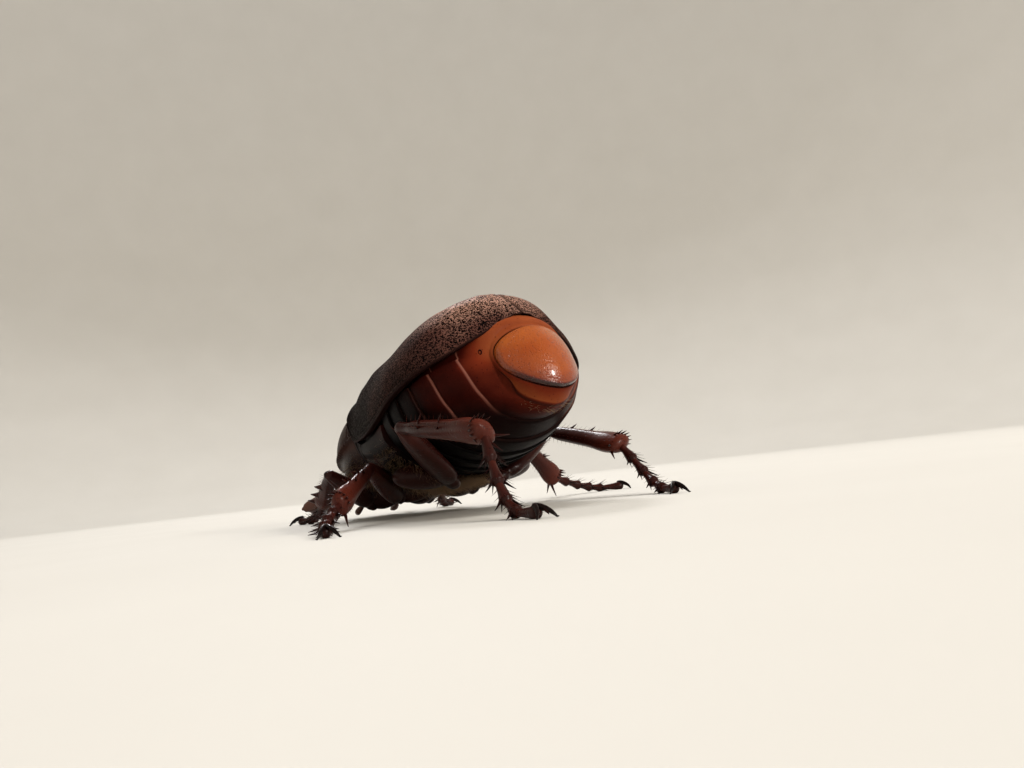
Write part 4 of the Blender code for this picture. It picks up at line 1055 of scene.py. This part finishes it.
def bristle_seed(sides, bend):
    """A stiff curved thorn of height 1 and radius 1, standing on the origin and leaning towards +X."""
    bpy.ops.object.select_all(action="DESELECT")
    bpy.ops.mesh.primitive_cone_add(
        vertices=sides, radius1=1.0, radius2=0.12, depth=1.0, location=(0, 0, 0.5)
    )
    seed = bpy.context.object
    bpy.ops.object.transform_apply(location=True, rotation=True, scale=True)
    bpy.ops.object.mode_set(mode="EDIT")
    for height in (0.35, 0.7):
        bpy.ops.mesh.select_all(action="SELECT")
        bpy.ops.mesh.bisect(plane_co=(0, 0, height), plane_no=(0, 0, 1))
    bpy.ops.object.mode_set(mode="OBJECT")
    places = np.array([vertex.co for vertex in seed.data.vertices])
    faces = [tuple(face.vertices) for face in seed.data.polygons]
    bpy.data.objects.remove(seed)
    return places, faces, bend


def plant(name, seed, stands, place, warm=0.3, roots=None):
    """Copies of a thorn set at (root, direction, length, radius), as one mesh. Roots give the coat's map."""
    places, faces, bend = seed
    all_points, all_faces = [], []
    for root, ahead, length, radius in stands:
        ahead = Vector(ahead).normalized()
        aside = ahead.cross(UP if abs(ahead.z) < 0.95 else Vector((0, 1, 0))).normalized()
        over = aside.cross(ahead)
        height = places[:, 2:3]
        grown = np.array(root) + np.array(ahead) * height * length
        grown = grown + radius * (places[:, 0:1] * np.array(aside) + places[:, 1:2] * np.array(over))
        grown = grown + np.array(over) * bend * length * height**2
        all_faces += [tuple(i + len(all_points) * len(places) for i in face) for face in faces]
        all_points.append(grown)
    mesh = bpy.data.meshes.new(name)
    mesh.from_pydata([tuple(point) for point in stood(all_points, place)], [], all_faces)
    mesh.shade_smooth()
    paint(mesh, "warm", warm)
    if roots is not None:
        chart = mesh.uv_layers.new(name="OFBake")
        corner = np.zeros(len(mesh.loops), int)
        mesh.loops.foreach_get("vertex_index", corner)
        number, part = corner // len(places), corner % len(places)
        patch = np.array(roots)[number] + 0.003 * np.column_stack((places[part, 0] * 0.4, places[part, 2]))
        chart.data.foreach_set("uv", patch.astype(np.float32).ravel())
    piece = bpy.data.objects.new(name, mesh)
    bpy.context.scene.collection.objects.link(piece)
    return piece


def limb(start, end, across, sizes, rows=44, sides=30, keels=0, keel=0.0):
    """Rings of a limb with rounded ends: half width and half thickness along it, and keels round it."""
    start, end = np.array(start), np.array(end)
    axis = unit(end - start)
    wide = unit(np.array(across) - axis * np.dot(across, axis))
    thick = np.cross(axis, wide)
    shares = np.linspace(sizes[0][0], sizes[-1][0], rows)
    turn = np.linspace(0, 2 * math.pi, sides, endpoint=False)
    swell = 1 + keel * (np.abs(np.cos(keels * turn / 2)) ** 6 if keels else 0)
    middle = (shares - shares[0]) / (shares[-1] - shares[0])
    rings = []
    steps = [(0, -0.75, 0.35), (0, -0.45, 0.8), (0, -0.15, 0.96)] + [(i, 0, 1) for i in range(rows)]
    steps += [(-1, 0.15, 0.96), (-1, 0.45, 0.8), (-1, 0.75, 0.35)]
    table = at_stations(sizes, shares)
    for i, shift, scale in steps:
        half_wide, half_thick = table[i]
        size = scale * (1 + (swell - 1) * math.sin(math.pi * np.clip(middle[i], 0.08, 0.85)))
        centre = start + (end - start) * shares[i] + axis * half_thick * shift
        side_way = (np.cos(turn) * half_wide * size)[:, None] * wide
        rings.append(centre + side_way + (np.sin(turn) * half_thick * size)[:, None] * thick)
    return np.array(rings)


def knee_of(hip, ankle, thigh, shin, lean):
    """Where two limbs of known length meet, on the side that the lean points to."""
    reach = ankle - hip
    span = reach.length
    ahead = reach / span
    along = (thigh**2 - shin**2 + span**2) / (2 * span)
    off = math.sqrt(max(thigh**2 - along**2, 0.01))
    aside = (lean - ahead * lean.dot(ahead)).normalized()
    return hip + ahead * along + aside * off


def foot_steepness(fall, length):
    """The slope of the first foot joint for which the foot's joints together come down to the floor."""
    low, high = 0.0, math.radians(75)
    for _ in range(30):
        middle = (low + high) / 2
        slopes = zip(FOOT_SHARES, FOOT_SLOPES)
        drop = sum(length * share * math.sin(slope * middle) for share, slope in slopes)
        low, high = (middle, high) if drop < fall else (low, middle)
    return low


THORN = bristle_seed(8, 0.1)
BRISTLE = bristle_seed(5, 0.12)
LEG_HORN = horn(
    "leg horn",
    [(0.0, (0.004, 0.0016, 0.0014)), (0.4, (0.026, 0.0052, 0.0035)), (0.75, (0.09, 0.017, 0.009)),
     (1.0, (0.22, 0.055, 0.024))],
    pore_scale=2600.0, pore_size=0.24, depth=0.02, rough=0.32, coat=0.05, shine=0.11,
)


def claw(root, ahead, side):
    """A hooked claw that curls down to the floor, with a tooth under its middle."""
    aside = ahead.cross(UP).normalized() * side
    points = []
    for step in np.linspace(0, 5.6, CLAW_POINTS):
        angle = math.radians(15 * step)
        curl = ahead * 1.3 * math.sin(angle) - UP * (1 - math.cos(angle))
        point = root + curl * CLAW_CURL + aside * 0.12 * step
        point.z = max(point.z, 0.05)
        points.append(tuple(point))
    widths = 0.19 * np.interp(np.linspace(0, 1, CLAW_POINTS), (0, 0.2, 0.6, 1), (1.0, 0.95, 0.62, 0.12))
    tooth = plant("tooth", THORN, [(points[6], ahead + UP * -1.2, 0.42, 0.13)], STANDING, 0.2)
    return [skin("hook", tube(points, widths, 12, flat=0.8), STANDING), tooth]


def warm_along(grid, low, high):
    """A mask that runs from one warmth to another along a limb."""
    return {"warm": np.repeat(np.linspace(low, high, len(grid))[:, None], grid.shape[1], axis=1)}


def foot(leg, ankle, heading, turn):
    """Five beads that step down to the floor, thorns round their ends, and two claws."""
    length = FEET[leg]
    angle = math.radians(heading)
    steepness = foot_steepness(ankle.z - FOOT_AXIS_HEIGHT, length)
    point = ankle.copy()
    pieces, thorns, hairs = [], [], []
    for number, (share, slope) in enumerate(zip(FOOT_SHARES, FOOT_SLOPES)):
        run = length * share
        fall = slope * steepness
        level = math.cos(fall) * run
        step = Vector((math.cos(angle) * level, math.sin(angle) * level, -math.sin(fall) * run))
        following = point + step
        last = number == len(FOOT_SHARES) - 1
        grid = limb(point, following, UP, LAST_BEAD if last else BEAD, rows=22, sides=20)
        pieces.append(skin("bead", grid, STANDING, warm_along(grid, 0.55, 0.3)))
        ahead = step.normalized()
        aside = ahead.cross(UP).normalized()
        if not last:
            for lean in (-1.0, 1.0):
                out = ahead * 0.8 + aside * lean * 0.75 + Vector((0, 0, -0.12))
                thorns.append((following - ahead * 0.2 + aside * lean * 0.2, out, 0.95, 0.11))
                base = following - ahead * 0.18 + aside * lean * 0.25 - UP * 0.1
                thorns.append((base, ahead + aside * lean * 0.35 - UP * 0.35, 0.7, 0.07))
            for around in np.linspace(0.3, 2.84, 6):
                way = aside * math.cos(around) + UP * math.sin(around)
                hairs.append((following - ahead * 0.3 + way * 0.26, ahead + way * 0.55, 0.85, 0.028))
        for along in (0.35, 0.65):
            for lean in (-1.0, 1.0):
                base = point.lerp(following, along) + aside * lean * 0.22
                hairs.append((base, ahead * 0.7 + aside * lean - UP * 0.25, 0.6, 0.025))
        point = following
        angle += math.radians(turn)
    ahead = Vector((math.cos(angle), math.sin(angle), 0))
    root = point - ahead * 0.15 + Vector((0, 0, 0.28))
    for side in (-1, 1):
        pieces += claw(root, ahead, side)
    pieces.append(plant("thorns", THORN, thorns, STANDING, 0.1))
    pieces.append(plant("hairs", BRISTLE, hairs, STANDING, 0.35))
    return pieces


SHIN_SHAPE = ((0.2, 0.54, 0.7), (0.4, 0.62, 0.8), (0.7, 0.76, 0.88), (0.9, 0.97, 0.98), (1.0, 0.9, 0.88))
THIGH_SHAPE = (
    (0.0, 0.5, 0.7), (0.05, 0.58, 0.78), (0.09, 0.56, 0.74), (0.15, 0.8, 0.88), (0.34, 1.0, 1.0),
    (0.6, 0.92, 1.0), (0.84, 0.66, 0.85),
)
THIGH_GROOVE = 0.07
LIMB_ROWS = 60
LIMB_SIDES = 40
STRETCH = 0.97


def shin(leg, knee, ankle, across):
    """The shin, flared at its end, with keels, a few rows of thorns, a crown of them and two spurs."""
    width, thickness = SHINS[leg][1:]
    sizes = [(0.0, 0.44, 0.38), (0.1, 0.4, 0.36)]
    sizes += [(share, width * wider, thickness * thicker) for share, wider, thicker in SHIN_SHAPE]
    grid = limb(knee, ankle, across, sizes, LIMB_ROWS, LIMB_SIDES, keels=4, keel=0.1)
    pieces = [skin("shaft", grid, STANDING, warm_along(grid, 0.3, 0.62))]
    axis = (ankle - knee).normalized()
    wide = (across - axis * across.dot(axis)).normalized()
    thick = axis.cross(wide)
    long = (ankle - knee).length
    thorns, hairs = [], []
    if leg == "fore":
        for share, size in ((0.42, 0.8), (0.68, 1.0), (0.9, 1.15)):
            root = knee.lerp(ankle, share) + wide * width * 0.3
            thorns.append((root, wide + axis * 0.55, 1.05 * size, 0.34))
    else:
        for share in (0.3, 0.55):
            for lean in (-0.8, 0.0, 0.8):
                root = knee.lerp(ankle, share + 0.02 * lean) + wide * width * 0.45
                root += thick * lean * thickness * 0.4
                thorns.append((root, wide * 0.8 + thick * lean * 0.6 + axis * 0.9, 0.7, 0.12))
        for number in range(9):
            turn = math.pi * (0.02 + 0.96 * number / 8)
            out = wide * math.sin(turn) * width + thick * math.cos(turn) * thickness
            root = ankle - axis * 0.06 * long + out * 0.72
            thorns.append((root, out.normalized() * 0.6 + axis, 0.75, 0.12))
    for lean in (-0.45, 0.45):
        root = ankle - axis * 0.07 * long - wide * width * 0.45
        thorns.append((root, axis - wide * 0.75 + thick * lean, 1.55, 0.17))
    for share in np.linspace(0.12, 0.92, 15):
        for way, size in ((wide, width), (-wide, width)):
            for lean in (-0.5, 0.5):
                root = knee.lerp(ankle, share) + way * size * 0.4 + thick * lean * 0.3
                hairs.append((root, way + axis * 0.9 + thick * lean, 0.65, 0.022))
    pieces.append(plant("thorns", THORN, thorns, STANDING, 0.35))
    pieces.append(plant("hairs", BRISTLE, hairs, STANDING, 0.6))
    return pieces


def leg_pieces(name):
    """One leg from hip to claws: four pieces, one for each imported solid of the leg."""
    leg, word = name.split("_")
    side = 1 if word == "left" else -1
    stand, base = STANDS[name], HIPS[leg]
    hip_block = knob(f"hip_{name}", sided(base["centre"], side), base["radii"], BODY, 0.3, sides=40)
    dress(hip_block, LEG_HORN, "leg", f"coxa_{name}")
    hip = BODY @ Vector(sided(base["hip"], side)) - STANDING.translation
    long_thigh, long_shin = THIGHS[leg][0], SHINS[leg][0]
    longest = STRETCH * (long_thigh + long_shin)
    ankle = Vector(stand["ankle"])
    if (ankle - hip).length > longest:
        ankle = hip + (ankle - hip).normalized() * longest
    knee = knee_of(hip, ankle, long_thigh, long_shin, Vector(stand["lean"]))
    thigh, shank = (knee - hip).normalized(), (ankle - knee).normalized()
    bend = thigh.cross(shank).normalized()
    width, thickness = THIGHS[leg][1:]
    sizes = [(share, width * wider, thickness * thicker) for share, wider, thicker in THIGH_SHAPE]
    sizes += [(0.96, 0.5, 0.45), (1.0, 0.46, 0.42)]
    across = thigh.cross(bend)
    grid = limb(hip, knee, across, sizes, LIMB_ROWS, LIMB_SIDES)
    turn = np.linspace(0, 2 * math.pi, LIMB_SIDES, endpoint=False)[None, :]
    along = np.linspace(0, 1, len(grid))[:, None]
    face_groove = dip(np.cos(turn), 0.16) * ease(0.5, 0.75, along) * ease(0.98, 0.9, along)
    grid = push(grid, -THIGH_GROOVE * face_groove)
    thigh_piece = skin(f"thigh_{name}", grid, STANDING, warm_along(grid, 0.2, 0.45))
    hairs = []
    for share in np.linspace(0.15, 0.9, 16):
        for way in (across, -across):
            at = hip.lerp(knee, share) + way * width * 0.8
            hairs.append((at, way + thigh * 0.8 + bend * 0.3, 0.6, 0.022))
            hairs.append((at + bend * 0.15, way + thigh * 0.6 - bend * 0.5, 0.5, 0.022))
    thigh_piece = merge(f"thigh_{name}", [thigh_piece, plant("hairs", BRISTLE, hairs, STANDING, 0.5)])
    dress(thigh_piece, LEG_HORN, "leg", f"femur_{name}")
    outward = shank.cross(bend)
    shin_piece = merge(f"shin_{name}", shin(leg, knee, ankle, outward if outward.z > 0 else -outward))
    dress(shin_piece, LEG_HORN, "leg", f"tibia_{name}")
    heading, way = stand["heading"], stand["turn"]
    if side < 0:
        heading, way = 180 - heading, -way
    foot_piece = merge(f"foot_{name}", foot(leg, ankle, heading, way))
    dress(foot_piece, LEG_HORN, "leg", f"tarsus_{name}")


for leg_name in STANDS:
    leg_pieces(leg_name)

# Hair
# Fine tawny hair under the thorax and the collar, thickest between the legs, and a thin pale fringe
# on the last belly plate, below the rear plate. Each coat is one mesh of fine three-sided hairs.

HAIR_RADIUS = 0.01
FRINGE_RADIUS = 0.008


def hair_finish():
    """Dull hair that runs from brown to straw."""
    finish, tree, shader = new_finish("tawny hair")
    tint = blend(tree, noise(tree, 900.0, 2.0), (0.2, 0.11, 0.055), (0.52, 0.36, 0.21))
    plug(tree, shader, {"Base Color": tint, "Roughness": 0.45})
    return finish


TAWNY_HAIR = hair_finish()
HAIR = bristle_seed(3, 0.22)


def coat(name, grid, count, length, chosen, lean, seed, radius=HAIR_RADIUS):
    """Hairs rooted on a sleeve of points wherever the chosen function allows it, combed to the lean."""
    chance = np.random.default_rng(seed)
    rows, columns = grid.shape[:2]
    normal = outward_normals(grid)
    stands, roots = [], []
    while len(stands) < count:
        row, column = chance.uniform(1, rows - 2), chance.uniform(0, columns)
        i, j = int(row), int(column) % columns
        s, t = row - i, column - int(column)
        after = (j + 1) % columns
        near = (1 - t) * grid[i, j] + t * grid[i, after]
        far = (1 - t) * grid[i + 1, j] + t * grid[i + 1, after]
        point = (1 - s) * near + s * far
        if chance.random() > chosen(*point):
            continue
        way = normal[i, j] + np.array(lean) + chance.normal(0, 0.22, 3)
        stands.append((point - normal[i, j] * 0.03, way, length * chance.uniform(0.6, 1.15), radius))
        roots.append((column / columns * 0.98 + 0.005, row / rows * 0.98 + 0.005))
    piece = plant(name, HAIR, stands, BODY, 0.5, roots)
    return dress(piece, TAWNY_HAIR, "belly")


def on_breast(x, y, z):
    """Hair grows under the thorax, thickest near its middle."""
    return float(ease(3.4, 1.2, z)) * (0.35 + 0.65 * float(ease(4.8, 2.0, abs(x))))


def on_throat(x, y, z):
    """Hair grows on the underside of the collar."""
    return float(ease(4.6, 3.2, z))


def on_last_plate(x, y, z):
    """Hair grows low on the last belly plate."""
    return float(ease(2.0, 1.5, z)) * float(dip(y - 11.6, 0.35))


coat("breast_hair", THORAX_GRID, 8600, 1.15, on_breast, (0, 0.9, -0.1), 11)
coat("throat_hair", COLLAR_GRID, 5200, 1.0, on_throat, (0, 0.7, -0.1), 12)
coat("rear_fringe", ABDOMEN_GRID, 50, 0.6, on_last_plate, (0, 0.9, -0.2), 13, FRINGE_RADIUS)
